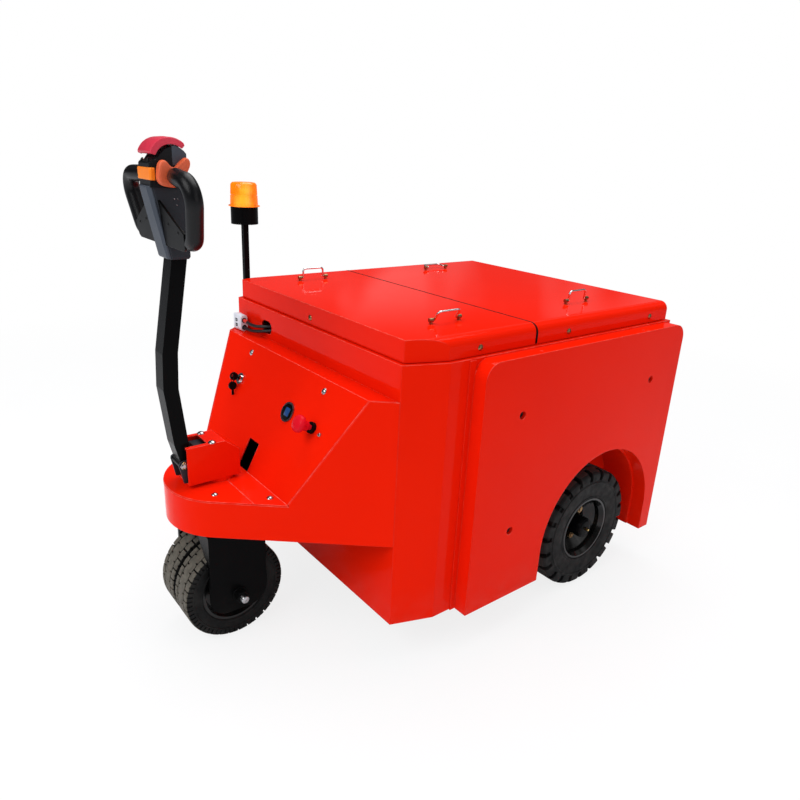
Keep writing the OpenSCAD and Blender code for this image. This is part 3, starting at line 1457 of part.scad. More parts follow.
module tow_hitch() {
    color("#1b1d1f") difference() {
        union() {
            box(-hitch_w / 2, hitch_w / 2, tail_y, tail_y + bulk_t, hitch_z - hitch_w / 2,
                hitch_z + hitch_w / 2);
            for (s = [-1, 1])
                translate([0, 0, hitch_z + s * (jaw_gap + jaw_t) / 2 - jaw_t / 2]) {
                    box(-jaw_l * 0.45, jaw_l * 0.45, tail_y + bulk_t - eps, pin_y, 0, jaw_t);
                    translate([0, pin_y, 0]) cylinder(h = jaw_t, r = jaw_l * 0.45);
                }
            for (s = [-1, 1])
                for (z = [hitch_z - hitch_s, hitch_z + hitch_s])
                    translate([s * hitch_s, tail_y + bulk_t, z]) rotate([90, 0, 0])
                        cylinder(h = bulk_t * 0.6, r = hitch_bolt_r * 1.8, center = true, $fn = 6);
        }
        translate([0, pin_y, hitch_z - hitch_w]) cylinder(h = 2 * hitch_w, r = pin_d / 2 + fit);
    }
}

module tow_pin() {
    top = hitch_z + jaw_gap / 2 + jaw_t;
    color("#a9adb1") translate([0, pin_y, 0]) {
        translate([0, 0, hitch_z - jaw_gap / 2 - jaw_t * 1.8])
            cylinder(h = jaw_gap + jaw_t * 3, r = pin_d / 2);
        translate([0, 0, top + fit]) cylinder(h = jaw_t * 0.7, r = pin_d * 0.8);
        translate([0, 0, top + jaw_t * 0.6]) cylinder(h = jaw_t * 0.8, r = pin_d * 0.3);
        translate([0, 0, top + jaw_t * 0.9 + pin_d * 0.6]) rod_x(pin_d * 0.22, pin_d * 2.4);
        translate([0, 0, top]) cylinder(h = jaw_t * 0.9 + pin_d * 0.6, r = pin_d * 0.24);
    }
}

chassis_frame();
body_shell();
side_panel_l();
side_panel_r();
panel_screws();
nose_shell();
deck_plate();
console_cover();
console_screws();
battery_blocks();
controller();
rear_axle();
hub_l();
hub_r_side();  // hub_r
rear_rim_l();
rear_rim_r_side();  // rear_rim_r
rear_tyre_l();
rear_tyre_r();
wheel_nuts_l();
wheel_nuts_r();
lid_front();
lid_rear();
lid_fittings_front();
lid_fittings_rear();
bail_fl();
bail_fr();
bail_rl();
bail_rr();
beacon_pole();
beacon_lens();
beacon_lamp();
battery_plug();
battery_cables();
key_switch();
ignition_key();
spare_key();
gauge();
stop_base();
stop_button();
steer_bushes();
fork();
front_axle();
front_rim_l();
front_rim_r_side();  // front_rim_r
front_tyre_l();
front_tyre_r();
bracket();
bracket_bolts();
pivot_clevis();
pivot_pin();
tiller_arm();
head_body();
belly_pad();
horn_button();
spine_cover();
grip_loops();
wing_l();
wing_r_side();  // wing_r
tow_hitch();
tow_pin();
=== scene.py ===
"""Looks of the electric tow tractor: materials, detailed pieces, light, floor and camera."""

import json
import math

import bmesh
import bpy
from mathutils import Matrix, Vector


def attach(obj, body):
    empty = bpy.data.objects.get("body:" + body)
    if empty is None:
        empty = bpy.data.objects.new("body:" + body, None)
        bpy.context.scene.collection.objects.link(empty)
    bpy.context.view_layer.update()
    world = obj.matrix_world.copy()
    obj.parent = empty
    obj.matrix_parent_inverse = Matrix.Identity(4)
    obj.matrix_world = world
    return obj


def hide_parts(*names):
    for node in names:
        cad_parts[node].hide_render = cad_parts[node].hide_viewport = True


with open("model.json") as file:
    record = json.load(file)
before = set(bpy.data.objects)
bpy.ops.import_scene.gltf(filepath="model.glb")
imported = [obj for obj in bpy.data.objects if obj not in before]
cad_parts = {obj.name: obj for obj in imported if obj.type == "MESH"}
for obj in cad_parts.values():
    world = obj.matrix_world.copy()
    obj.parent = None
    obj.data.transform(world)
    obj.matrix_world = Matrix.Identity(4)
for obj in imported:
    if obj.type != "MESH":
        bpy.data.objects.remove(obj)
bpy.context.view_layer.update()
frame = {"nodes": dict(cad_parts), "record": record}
nodes = frame["nodes"]

# Main places of the vehicle in metres, in the frame of the CAD model
FRONT_Y, FRONT_R = -0.4445, 0.125
REAR_Y, REAR_R = 0.4445, 0.173
WALL_Y = -0.2
DECK_Z = 0.402
CONSOLE_Z = 0.656
CONSOLE_TOP = 0.048
PANEL_LEAN = math.radians(27.49)
SLOPE_LOW_Y = WALL_Y - CONSOLE_TOP - (CONSOLE_Z - DECK_Z) * math.tan(PANEL_LEAN)
SLOPE_OUT = Vector((0.0, -math.cos(PANEL_LEAN), math.sin(PANEL_LEAN)))
SLOPE_UP = Vector((0.0, math.sin(PANEL_LEAN), math.cos(PANEL_LEAN)))
BEACON = Vector((-0.3985, -0.1616, 0.9807))
SIDES = (("l", 1.0), ("r", -1.0))


def mm(points):
    """The points, given in millimetres, in metres."""
    return [tuple(v / 1000 for v in p) for p in points]


# Camera

CAMERA_PLACE = (1.3820, -1.0166, 1.1379)
CAMERA_AZIMUTH = math.radians(51.0321)
CAMERA_ELEVATION = math.radians(20.1139)
CAMERA_ROLL = math.radians(2.76)
CAMERA_SENSOR = 36.0
CAMERA_LENS = 673.91 / 800 * CAMERA_SENSOR


def make_camera():
    """The camera that the photograph was taken with, rolled about its own line of sight."""
    data = bpy.data.cameras.new("camera")
    data.sensor_fit = "HORIZONTAL"
    data.sensor_width = CAMERA_SENSOR
    data.lens = CAMERA_LENS
    data.clip_start = 0.05
    data.clip_end = 100.0
    cam = bpy.data.objects.new("camera", data)
    a, e, r = CAMERA_AZIMUTH, CAMERA_ELEVATION, CAMERA_ROLL
    back = Vector((math.sin(a) * math.cos(e), -math.cos(a) * math.cos(e), math.sin(e)))
    right = (-back).cross(Vector((0, 0, 1))).normalized()
    up = right.cross(-back)
    turned = (math.cos(r) * right + math.sin(r) * up, math.cos(r) * up - math.sin(r) * right, back)
    cam.matrix_world = Matrix.Translation(CAMERA_PLACE) @ Matrix(turned).transposed().to_4x4()
    bpy.context.collection.objects.link(cam)
    bpy.context.scene.camera = cam


# Materials

NOISE_ROUGHNESS = 0.55
EDGE_MATCH, FACE_MATCH = 0.84, 0.985
# Weights of down- and up-facing edges in the edge mask: a painted highlight, stronger where edges face the light above
HIGHLIGHT_FACING_DOWN, HIGHLIGHT_FACING_UP = 0.12, 1.0
WEAR_AND_HIGHLIGHT_SCALE, DUST_SCALE = 60.0, 30.0
GLOSS_SCALE = 2.3
LENS_IOR = 1.45
RUBBER_BLACK = (0.006, 0.006, 0.006)


def node_tree(name):
    """A new material with its node tree, shader and object coordinates."""
    mat = bpy.data.materials.new(name)
    mat.use_nodes = True
    tree = mat.node_tree
    return mat, tree, tree.nodes["Principled BSDF"], tree.nodes.new("ShaderNodeTexCoord").outputs["Object"]


def noise(tree, coord, scale, detail=3.0):
    """Noise of the given scale, from 0 to 1."""
    n = tree.nodes.new("ShaderNodeTexNoise")
    n.inputs["Scale"].default_value = scale
    n.inputs["Detail"].default_value = detail
    n.inputs["Roughness"].default_value = NOISE_ROUGHNESS
    tree.links.new(coord, n.inputs["Vector"])
    return n.outputs["Fac"]


def ramp(tree, value, low, high, a=0.0, b=1.0):
    """The value stretched from low..high to a..b."""
    r = tree.nodes.new("ShaderNodeMapRange")
    r.inputs["From Min"].default_value = low
    r.inputs["From Max"].default_value = high
    r.inputs["To Min"].default_value = a
    r.inputs["To Max"].default_value = b
    tree.links.new(value, r.inputs["Value"])
    return r.outputs["Result"]


def is_socket(value):
    return hasattr(value, "default_value")


def blend_colour(tree, fac, a, b):
    """Colour a where fac is 0 and b where it is 1; each is a socket or three numbers."""
    m = tree.nodes.new("ShaderNodeMix")
    m.data_type = "RGBA"
    tree.links.new(fac, m.inputs["Factor"])
    for socket, value in ((m.inputs["A"], a), (m.inputs["B"], b)):
        if is_socket(value):
            tree.links.new(value, socket)
        else:
            socket.default_value = (*value, 1.0)
    return m.outputs["Result"]


def maths(tree, operation, a, b):
    """One sum on two sockets or numbers."""
    m = tree.nodes.new("ShaderNodeMath")
    m.operation = operation
    for socket, value in ((m.inputs[0], a), (m.inputs[1], b)):
        if is_socket(value):
            tree.links.new(value, socket)
        else:
            socket.default_value = value
    return m.outputs["Value"]


def multiply(tree, a, b):
    return maths(tree, "MULTIPLY", a, b)


def distance(tree, coord, place, flat=(1.0, 1.0, 1.0)):
    """Distance from a place, with the axes that flat sets to 0 left out."""
    keep = tree.nodes.new("ShaderNodeVectorMath")
    keep.operation = "MULTIPLY"
    tree.links.new(coord, keep.inputs[0])
    keep.inputs[1].default_value = flat
    d = tree.nodes.new("ShaderNodeVectorMath")
    d.operation = "DISTANCE"
    tree.links.new(keep.outputs["Vector"], d.inputs[0])
    d.inputs[1].default_value = tuple(p * f for p, f in zip(place, flat))
    return d.outputs["Value"]


def low_mask(tree, coord, top):
    """1 at the ground, fading to 0 at height top."""
    sep = tree.nodes.new("ShaderNodeSeparateXYZ")
    tree.links.new(coord, sep.inputs["Vector"])
    return ramp(tree, sep.outputs["Z"], 0.0, top, 1.0, 0.0)


def surface(tree, bsdf, height, strength, depth, rounding=0.0):
    """Fine bump over edges that are rounded in shading.

    Gives a mask of those edges, strongest where they face up, where it carries a painted highlight for light from
    above as well as wear, or nothing without rounding."""
    b = tree.nodes.new("ShaderNodeBump")
    b.inputs["Strength"].default_value = strength
    b.inputs["Distance"].default_value = depth
    tree.links.new(height, b.inputs["Height"])
    tree.links.new(b.outputs["Normal"], bsdf.inputs["Normal"])
    if not rounding:
        return None
    bevel = tree.nodes.new("ShaderNodeBevel")
    bevel.samples = 4
    bevel.inputs["Radius"].default_value = rounding
    tree.links.new(bevel.outputs["Normal"], b.inputs["Normal"])
    face = tree.nodes.new("ShaderNodeNewGeometry")
    same = tree.nodes.new("ShaderNodeVectorMath")
    same.operation = "DOT_PRODUCT"
    tree.links.new(bevel.outputs["Normal"], same.inputs[0])
    tree.links.new(face.outputs["Normal"], same.inputs[1])
    # Edges that face up get more of the mask: painted highlight standing for light from above
    sep = tree.nodes.new("ShaderNodeSeparateXYZ")
    tree.links.new(bevel.outputs["Normal"], sep.inputs["Vector"])
    edge = ramp(tree, same.outputs["Value"], EDGE_MATCH, FACE_MATCH, 1.0, 0.0)
    return multiply(tree, edge, ramp(tree, sep.outputs["Z"], 0.1, 0.6, HIGHLIGHT_FACING_DOWN, HIGHLIGHT_FACING_UP))


def finish_material(name, colour, dark, rough, metal=0.0, spec=0.5, grain=(900.0, 0.05, 0.0002), mottle=8.0,
                    span=0.06, rounding=0.0, wear_and_highlight=None, dust=None, tint=(1.0, 1.0, 1.0)):
    """A painted, moulded or metal finish: uneven colour and gloss, fine grain, edges lightened partly by wear and
    partly by a painted highlight, and dust low down.

    grain is (scale, strength, depth), the edge colour argument is that of edges partly rubbed and partly lit by a
    painted highlight, and dust is (height, amount)."""
    mat, tree, bsdf, coord = node_tree(name)
    colour_out = blend_colour(tree, ramp(tree, noise(tree, coord, mottle, 2.0), 0.25, 0.75), dark, colour)
    edge = surface(tree, bsdf, noise(tree, coord, grain[0], 2.0), grain[1], grain[2], rounding)
    # Edges take the edge colour: partly rubbed paint, partly a painted highlight strongest on upward-facing edges
    if wear_and_highlight:
        worn_and_lit_edges = multiply(tree, edge, ramp(tree, noise(tree, coord, WEAR_AND_HIGHLIGHT_SCALE, 4.0), 0.36, 0.62, 0.25, 0.8))
        colour_out = blend_colour(tree, worn_and_lit_edges, colour_out, wear_and_highlight)
    if dust:
        height, amount = dust
        specks = ramp(tree, noise(tree, coord, DUST_SCALE, 5.0), 0.35, 0.8)
        dusty = multiply(tree, low_mask(tree, coord, height), specks)
        colour_out = blend_colour(tree, multiply(tree, dusty, amount), colour_out, DUST)
    tree.links.new(colour_out, bsdf.inputs["Base Color"])
    gloss = ramp(tree, noise(tree, coord, mottle * GLOSS_SCALE), 0.25, 0.75, rough, rough + span)
    tree.links.new(gloss, bsdf.inputs["Roughness"])
    bsdf.inputs["Metallic"].default_value = metal
    bsdf.inputs["Specular IOR Level"].default_value = spec
    bsdf.inputs["Specular Tint"].default_value = (*tint, 1.0)
    return mat


def rubber_material(name, axle, crown, tread, side):
    """Tyre rubber: black, with dust on the tread beyond the crown radius and smears on the side walls."""
    mat, tree, bsdf, coord = node_tree(name)
    smear = ramp(tree, noise(tree, coord, 26.0, 6.0), 0.42, 0.85)
    walls = blend_colour(tree, smear, RUBBER_BLACK, side)
    worn = ramp(tree, noise(tree, coord, 75.0, 5.0), 0.3, 0.75, 0.55, 1.0)
    top = ramp(tree, distance(tree, coord, axle, (0.0, 1.0, 1.0)), crown - 0.0008, crown)
    tree.links.new(blend_colour(tree, multiply(tree, top, worn), walls, tread), bsdf.inputs["Base Color"])
    tree.links.new(ramp(tree, noise(tree, coord, 60.0), 0.3, 0.7, 0.5, 0.7), bsdf.inputs["Roughness"])
    bsdf.inputs["Specular IOR Level"].default_value = 0.14
    surface(tree, bsdf, noise(tree, coord, 420.0, 4.0), 0.25, 0.0005)
    return mat


def glass_material(name, colour, rough, transmission, glow, hot=None, spots=()):
    """A lit lens or screen, with a hotter colour near the given places."""
    mat, tree, bsdf, coord = node_tree(name)
    shade = tuple(c * 0.82 for c in colour)
    colour_out = blend_colour(tree, ramp(tree, noise(tree, coord, 40.0), 0.3, 0.7), colour, shade)
    tree.links.new(colour_out, bsdf.inputs["Base Color"])
    tree.links.new(ramp(tree, noise(tree, coord, 80.0), 0.3, 0.7, rough, rough + 0.06), bsdf.inputs["Roughness"])
    bsdf.inputs["Transmission Weight"].default_value = transmission
    bsdf.inputs["IOR"].default_value = LENS_IOR
    surface(tree, bsdf, noise(tree, coord, 150.0), 0.1, 0.0004)
    lit = colour_out
    for place, size in spots:
        near = ramp(tree, distance(tree, coord, place), size * 0.3, size * 0.9, 1.0, 0.0)
        lit = blend_colour(tree, near, lit, hot)
    tree.links.new(lit, bsdf.inputs["Emission Color"])
    bsdf.inputs["Emission Strength"].default_value = glow
    return mat


RED = (0.80, 0.0120, 0.0015)
RED_DARK = (0.75, 0.0100, 0.0013)
# Light pink edge colour of the red paint: painted highlight on its rounded edges, with some wear
RED_EDGE_HIGHLIGHT = (1.0, 0.30, 0.24)
DUST = (0.30, 0.27, 0.23)
BLACK = (0.0028, 0.0028, 0.0030)
BLACK_DARK = (0.0020, 0.0020, 0.0021)
# Grey edge colour of the black finishes: painted highlight on their rounded edges, with some wear
BLACK_EDGE_HIGHLIGHT = (0.030, 0.030, 0.033)
GLOWS = [(BEACON + Vector((0.030, -0.030, 0.016)), 0.026), (BEACON + Vector((0.036, -0.012, 0.017)), 0.024),
         (BEACON + Vector((0.030, -0.008, 0.046)), 0.026)]

# The edge colours given to the finishes below are partly wear and partly a painted highlight on their rounded edges
MATS = {
    "red_paint": finish_material("red_paint", RED, RED_DARK, 0.05, spec=0.055, grain=(170.0, 0.03, 0.0004),
                                 mottle=2.2, span=0.05, rounding=0.0024, wear_and_highlight=RED_EDGE_HIGHLIGHT, dust=(0.2, 0.12),
                                 tint=(1.0, 0.35, 0.2)),
    "frame_paint": finish_material("frame_paint", (0.016, 0.016, 0.017), (0.010, 0.010, 0.011), 0.45, spec=0.3,
                                   rounding=0.002, wear_and_highlight=(0.08, 0.075, 0.07), dust=(0.3, 0.2)),
    "black_paint": finish_material("black_paint", BLACK, BLACK_DARK, 0.22, spec=0.035, grain=(420.0, 0.08, 0.0004),
                                   rounding=0.0016, wear_and_highlight=BLACK_EDGE_HIGHLIGHT, dust=(0.16, 0.03)),
    "rim_black": finish_material("rim_black", BLACK, BLACK_DARK, 0.12, spec=0.35, grain=(120.0, 0.06, 0.0005),
                                 dust=(0.3, 0.05)),
    "head_plastic": finish_material("head_plastic", (0.0070, 0.0072, 0.0090), (0.0050, 0.0051, 0.0062), 0.38,
                                    spec=0.16, grain=(1400.0, 0.25, 0.0003), rounding=0.0015, wear_and_highlight=BLACK_EDGE_HIGHLIGHT),
    # The head's near-black plastic made lighter: painted light on the lit sides of the column
    "column_plastic_painted_lit": finish_material("column_plastic_painted_lit", (0.020, 0.023, 0.030), (0.015, 0.017, 0.022), 0.4, spec=0.2,
                                      grain=(1400.0, 0.25, 0.0003), rounding=0.0012, wear_and_highlight=BLACK_EDGE_HIGHLIGHT),
    "grip_rubber": finish_material("grip_rubber", (0.0042, 0.0044, 0.0052), (0.0030, 0.0031, 0.0037), 0.3, spec=0.2,
                                   grain=(900.0, 0.12, 0.0003)),
    "spine_plastic": finish_material("spine_plastic", (0.050, 0.060, 0.078), (0.042, 0.051, 0.067), 0.42, spec=0.3,
                                     grain=(1300.0, 0.25, 0.0003), rounding=0.0012, wear_and_highlight=(0.10, 0.11, 0.13)),
    "front_rubber": rubber_material("front_rubber", (0.0, FRONT_Y, FRONT_R), 0.1232, (0.130, 0.116, 0.092),
                                    (0.020, 0.019, 0.017)),
    "rear_rubber": rubber_material("rear_rubber", (0.0, REAR_Y, REAR_R), 0.1715, (0.045, 0.041, 0.037),
                                   (0.030, 0.027, 0.025)),
    "zinc": finish_material("zinc", (0.46, 0.46, 0.47), (0.36, 0.36, 0.37), 0.22, metal=1.0, mottle=60.0,
                            grain=(700.0, 0.1, 0.0002)),
    "dark_screw": finish_material("dark_screw", (0.010, 0.010, 0.011), (0.006, 0.006, 0.006), 0.4, metal=0.2,
                                  spec=0.3, mottle=80.0),
    "brass_zinc": finish_material("brass_zinc", (0.40, 0.25, 0.12), (0.28, 0.19, 0.10), 0.3, metal=1.0, mottle=70.0),
    "gold": finish_material("gold", (0.78, 0.56, 0.20), (0.66, 0.45, 0.15), 0.2, metal=1.0, mottle=90.0),
    "chrome": finish_material("chrome", (0.82, 0.83, 0.85), (0.74, 0.75, 0.77), 0.06, metal=1.0, mottle=40.0,
                              grain=(300.0, 0.02, 0.0002)),
    "bronze": finish_material("bronze", (0.5, 0.33, 0.13), (0.4, 0.25, 0.1), 0.35, metal=1.0),
    "belly_red": finish_material("belly_red", (0.60, 0.028, 0.062), (0.52, 0.020, 0.046), 0.34, spec=0.35,
                                 grain=(1100.0, 0.15, 0.0003), rounding=0.0012, wear_and_highlight=(0.75, 0.16, 0.19)),
    "stop_red": finish_material("stop_red", (0.64, 0.006, 0.017), (0.58, 0.005, 0.014), 0.2, spec=0.07,
                                grain=(900.0, 0.05, 0.0002)),
    "orange": finish_material("orange", (0.90, 0.23, 0.008), (0.82, 0.18, 0.006), 0.35, spec=0.3, mottle=40.0,
                              grain=(900.0, 0.1, 0.0002), rounding=0.001, wear_and_highlight=(0.95, 0.40, 0.08)),
    "wing_orange": finish_material("wing_orange", (0.70, 0.125, 0.045), (0.56, 0.085, 0.030), 0.4, spec=0.3,
                                   mottle=40.0, grain=(900.0, 0.15, 0.0003), rounding=0.0012,
                                   wear_and_highlight=(0.85, 0.34, 0.20)),
    "silver_plastic": finish_material("silver_plastic", (0.68, 0.70, 0.75), (0.58, 0.60, 0.65), 0.38, mottle=50.0,
                                      grain=(800.0, 0.15, 0.0003), rounding=0.0008, wear_and_highlight=(0.8, 0.81, 0.85)),
    "gauge_bezel": finish_material("gauge_bezel", (0.34, 0.34, 0.40), (0.26, 0.26, 0.31), 0.25, metal=1.0,
                                   mottle=60.0),
    "black_plastic": finish_material("black_plastic", BLACK, BLACK_DARK, 0.34, spec=0.07, grain=(900.0, 0.15, 0.0003),
                                     rounding=0.0006, wear_and_highlight=BLACK_EDGE_HIGHLIGHT),
    "cable_black": finish_material("cable_black", (0.010, 0.010, 0.012), (0.007, 0.007, 0.008), 0.4, spec=0.5,
                                   grain=(1200.0, 0.2, 0.0003)),
    "sleeve_red": finish_material("sleeve_red", (0.62, 0.035, 0.02), (0.52, 0.025, 0.015), 0.4, spec=0.4),
    "battery_case": finish_material("battery_case", (0.022, 0.024, 0.028), (0.014, 0.015, 0.018), 0.5),
    "switch_grey": finish_material("switch_grey", (0.024, 0.027, 0.034), (0.017, 0.020, 0.025), 0.4, spec=0.2,
                                   rounding=0.001, wear_and_highlight=(0.12, 0.13, 0.14)),
    "amber_lens": glass_material("amber_lens", (0.95, 0.21, 0.002), 0.12, 0.2, 0.34, (1.0, 0.82, 0.08), GLOWS),
    "screen": glass_material("screen", (0.012, 0.05, 0.17), 0.15, 0.0, 0.25),
    "lamp": glass_material("lamp", (1.0, 0.62, 0.12), 0.2, 0.0, 1.4),
}

# The material of each CAD node: its slot's own, unless a row here names another for the node or the slot
SLOT_MATERIAL = {row["node"]: row["material_slot"] for row in frame["record"]["subparts"]}
NODE_MATERIAL = {"grip_loops": "grip_rubber", "battery_cables": "cable_black", "rear_rim_l": "rim_black",
                 "rear_rim_r": "rim_black", "front_rim_l": "rim_black", "front_rim_r": "rim_black",
                 "lid_fittings_front": "brass_zinc", "lid_fittings_rear": "brass_zinc",
                 "tyre_rubber": "rear_rubber"}


def paint(obj, mat):
    """The object's only material."""
    obj.data.materials.clear()
    obj.data.materials.append(MATS[mat])


for name, obj in nodes.items():
    slot_name = NODE_MATERIAL.get(name, SLOT_MATERIAL[name])
    paint(obj, NODE_MATERIAL.get(slot_name, slot_name))


# Building of the detailed pieces

def finish_piece(obj, mat, body, replaces=()):
    """The piece takes its material, rides on its body and stands for the CAD nodes that it replaces."""
    paint(obj, mat)
    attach(obj, body)
    if replaces:
        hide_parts(*replaces)
    return obj


ROUND_SEGMENTS, ROUND_ANGLE = 3, math.radians(28.0)
MERGE_GAP = 1e-6


def piece(name, bm, mat, body, replaces=(), bevel=0.0, subsurf=0, sharp=35.0):
    """A finished mesh piece, with optional rounded edges or subdivision."""
    mesh = bpy.data.meshes.new(name)
    bmesh.ops.remove_doubles(bm, verts=bm.verts, dist=MERGE_GAP)
    bmesh.ops.recalc_face_normals(bm, faces=bm.faces)
    bm.to_mesh(mesh)
    bm.free()
    obj = bpy.data.objects.new(name, mesh)
    bpy.context.collection.objects.link(obj)
    if bevel:
        mod = obj.modifiers.new("round", "BEVEL")
        mod.width = bevel
        mod.segments = ROUND_SEGMENTS
        mod.limit_method = "ANGLE"
        mod.angle_limit = ROUND_ANGLE
        mod.harden_normals = True
    if subsurf:
        mod = obj.modifiers.new("smooth", "SUBSURF")
        mod.levels = mod.render_levels = subsurf
    mesh.shade_smooth()
    mesh.set_sharp_from_angle(angle=math.radians(sharp))
    return finish_piece(obj, mat, body, replaces)


def add_loft(bm, rings):
    """Joins rings of points, each with the same count, into a skin with closed ends."""
    made = [[bm.verts.new(p) for p in ring] for ring in rings]
    n = len(rings[0])
    for a, b in zip(made, made[1:]):
        for i in range(n):
            bm.faces.new((a[i], a[(i + 1) % n], b[(i + 1) % n], b[i]))
    bm.faces.new(made[0][::-1])
    bm.faces.new(made[-1])


def add_prism(bm, outline, x0, x1):
    """A solid between x0 and x1 with the given (y, z) outline."""
    add_loft(bm, [[(x, y, z) for y, z in outline] for x in (x0, x1)])


def smooth_path(points, per=8):
    """A Catmull-Rom curve through the points."""
    pts = [Vector(p) for p in points]
    ext = [2 * pts[0] - pts[1]] + pts + [2 * pts[-1] - pts[-2]]
    out = []
    for i in range(1, len(ext) - 2):
        p0, p1, p2, p3 = ext[i - 1:i + 3]
        for k in range(per):
            t = k / per
            out.append(0.5 * (2 * p1 + (p2 - p0) * t + (2 * p0 - 5 * p1 + 4 * p2 - p3) * t * t
                              + (3 * p1 - p0 - 3 * p2 + p3) * t ** 3))
    out.append(pts[-1])
    return out


def add_tube(bm, path, radius, sides=24):
    """A round tube along a path; radius is a number or a list with one value for each point."""
    rings = []
    side = None
    for i, p in enumerate(path):
        d = (path[min(i + 1, len(path) - 1)] - path[max(i - 1, 0)]).normalized()
        side = side or d.orthogonal().normalized()
        side = (side - d * side.dot(d)).normalized()
        up = d.cross(side)
        r = radius[i] if isinstance(radius, list) else radius
        rings.append([p + r * (math.cos(t) * side + math.sin(t) * up)
                      for t in (2 * math.pi * k / sides for k in range(sides))])
    add_loft(bm, rings)


def add_disc(bm, place, normal, rings, sides=40, turn=0.0):
    """Rings of (radius, height) stacked along the normal from a place, closed at both ends."""
    n = Vector(normal).normalized()
    side = n.orthogonal().normalized()
    up = n.cross(side)
    add_loft(bm, [[Vector(place) + n * h + r * (math.cos(t + turn) * side + math.sin(t + turn) * up)
                   for t in (2 * math.pi * k / sides for k in range(sides))] for r, h in rings])


def slope_place(u, v, h):
    """A place on the sloped panel: u to the side, v up the slope, h out of it."""
    return Vector((u, SLOPE_LOW_Y, DECK_Z)) + SLOPE_UP * v + SLOPE_OUT * h


def rounded_box(y0, y1, z0, z1, r, count=4):
    """Outline in (y, z) of a rectangle with round corners."""
    out = []
    for cy, cz, start in ((y1 - r, z1 - r, 0), (y0 + r, z1 - r, 90), (y0 + r, z0 + r, 180), (y1 - r, z0 + r, 270)):
        for k in range(count + 1):
            t = math.radians(start + 90 * k / count)
            out.append((cy + r * math.cos(t), cz + r * math.sin(t)))
    return out


# Battery cables and plug

CABLE_D = 0.0087
UPPER_POST, LOWER_POST = Vector((-0.26598, -0.06764, 0.58113)), Vector((-0.03662, -0.06764, 0.58113))
SLOT = Vector((-0.20757, -0.2, 0.686))
UPPER_PLUG, LOWER_PLUG = Vector((-0.30258, -0.22016, 0.68655)), Vector((-0.30258, -0.22016, 0.66649))
UPPER_ROUTE = [(UPPER_POST, [(0, 0, 0), (0, 0, 19), (2, -4, 37), (7, -12, 54), (15, -22, 68), (25, -34, 79),
                             (36, -47, 88), (47, -60, 95), (57, -75, 101)]),
               (SLOT, [(6, 41, 0), (6, 22, 1), (-2, 5, 0), (-16, -8, -1), (-33, -16, -3)]),
               (UPPER_PLUG, [(44, 0, -3), (25, 0, -2), (6, 0, 0), (-13, 0, 0)])]
LOWER_ROUTE = [(LOWER_POST, [(0, 0, 0), (0, 0, 19), (-3, -4, 38), (-10, -10, 55), (-21, -18, 68), (-34, -28, 79),
                             (-48, -39, 86), (-63, -50, 90), (-78, -62, 93), (-94, -74, 95), (-109, -86, 97)]),
               (SLOT, [(48, 34, -7), (33, 22, -7), (19, 9, -7), (4, -3, -10), (-13, -13, -13), (-31, -18, -16)]),
               (LOWER_PLUG, [(45, 0, 1), (26, 0, 0), (6, 0, 0), (-13, 0, 0)])]


def route_points(route):
    """The knots of a route, whose steps are in millimetres from their anchors."""
    return [anchor + Vector(step) / 1000 for anchor, steps in route for step in steps]


def make_cord(name, points, replaces=()):
    """A cable as one open spline through the points of its route."""
    data = bpy.data.curves.new(name, "CURVE")
    data.dimensions = "3D"
    data.bevel_depth = CABLE_D / 2
    data.bevel_resolution = 5
    data.use_fill_caps = True
    data.resolution_u = 6
    spline = data.splines.new("BEZIER")
    spline.bezier_points.add(len(points) - 1)
    for knot, p in zip(spline.bezier_points, points):
        knot.co = p
        knot.handle_left_type = knot.handle_right_type = "AUTO"
    obj = bpy.data.objects.new(name, data)
    bpy.context.collection.objects.link(obj)
    return finish_piece(obj, "cable_black", "chassis", replaces)


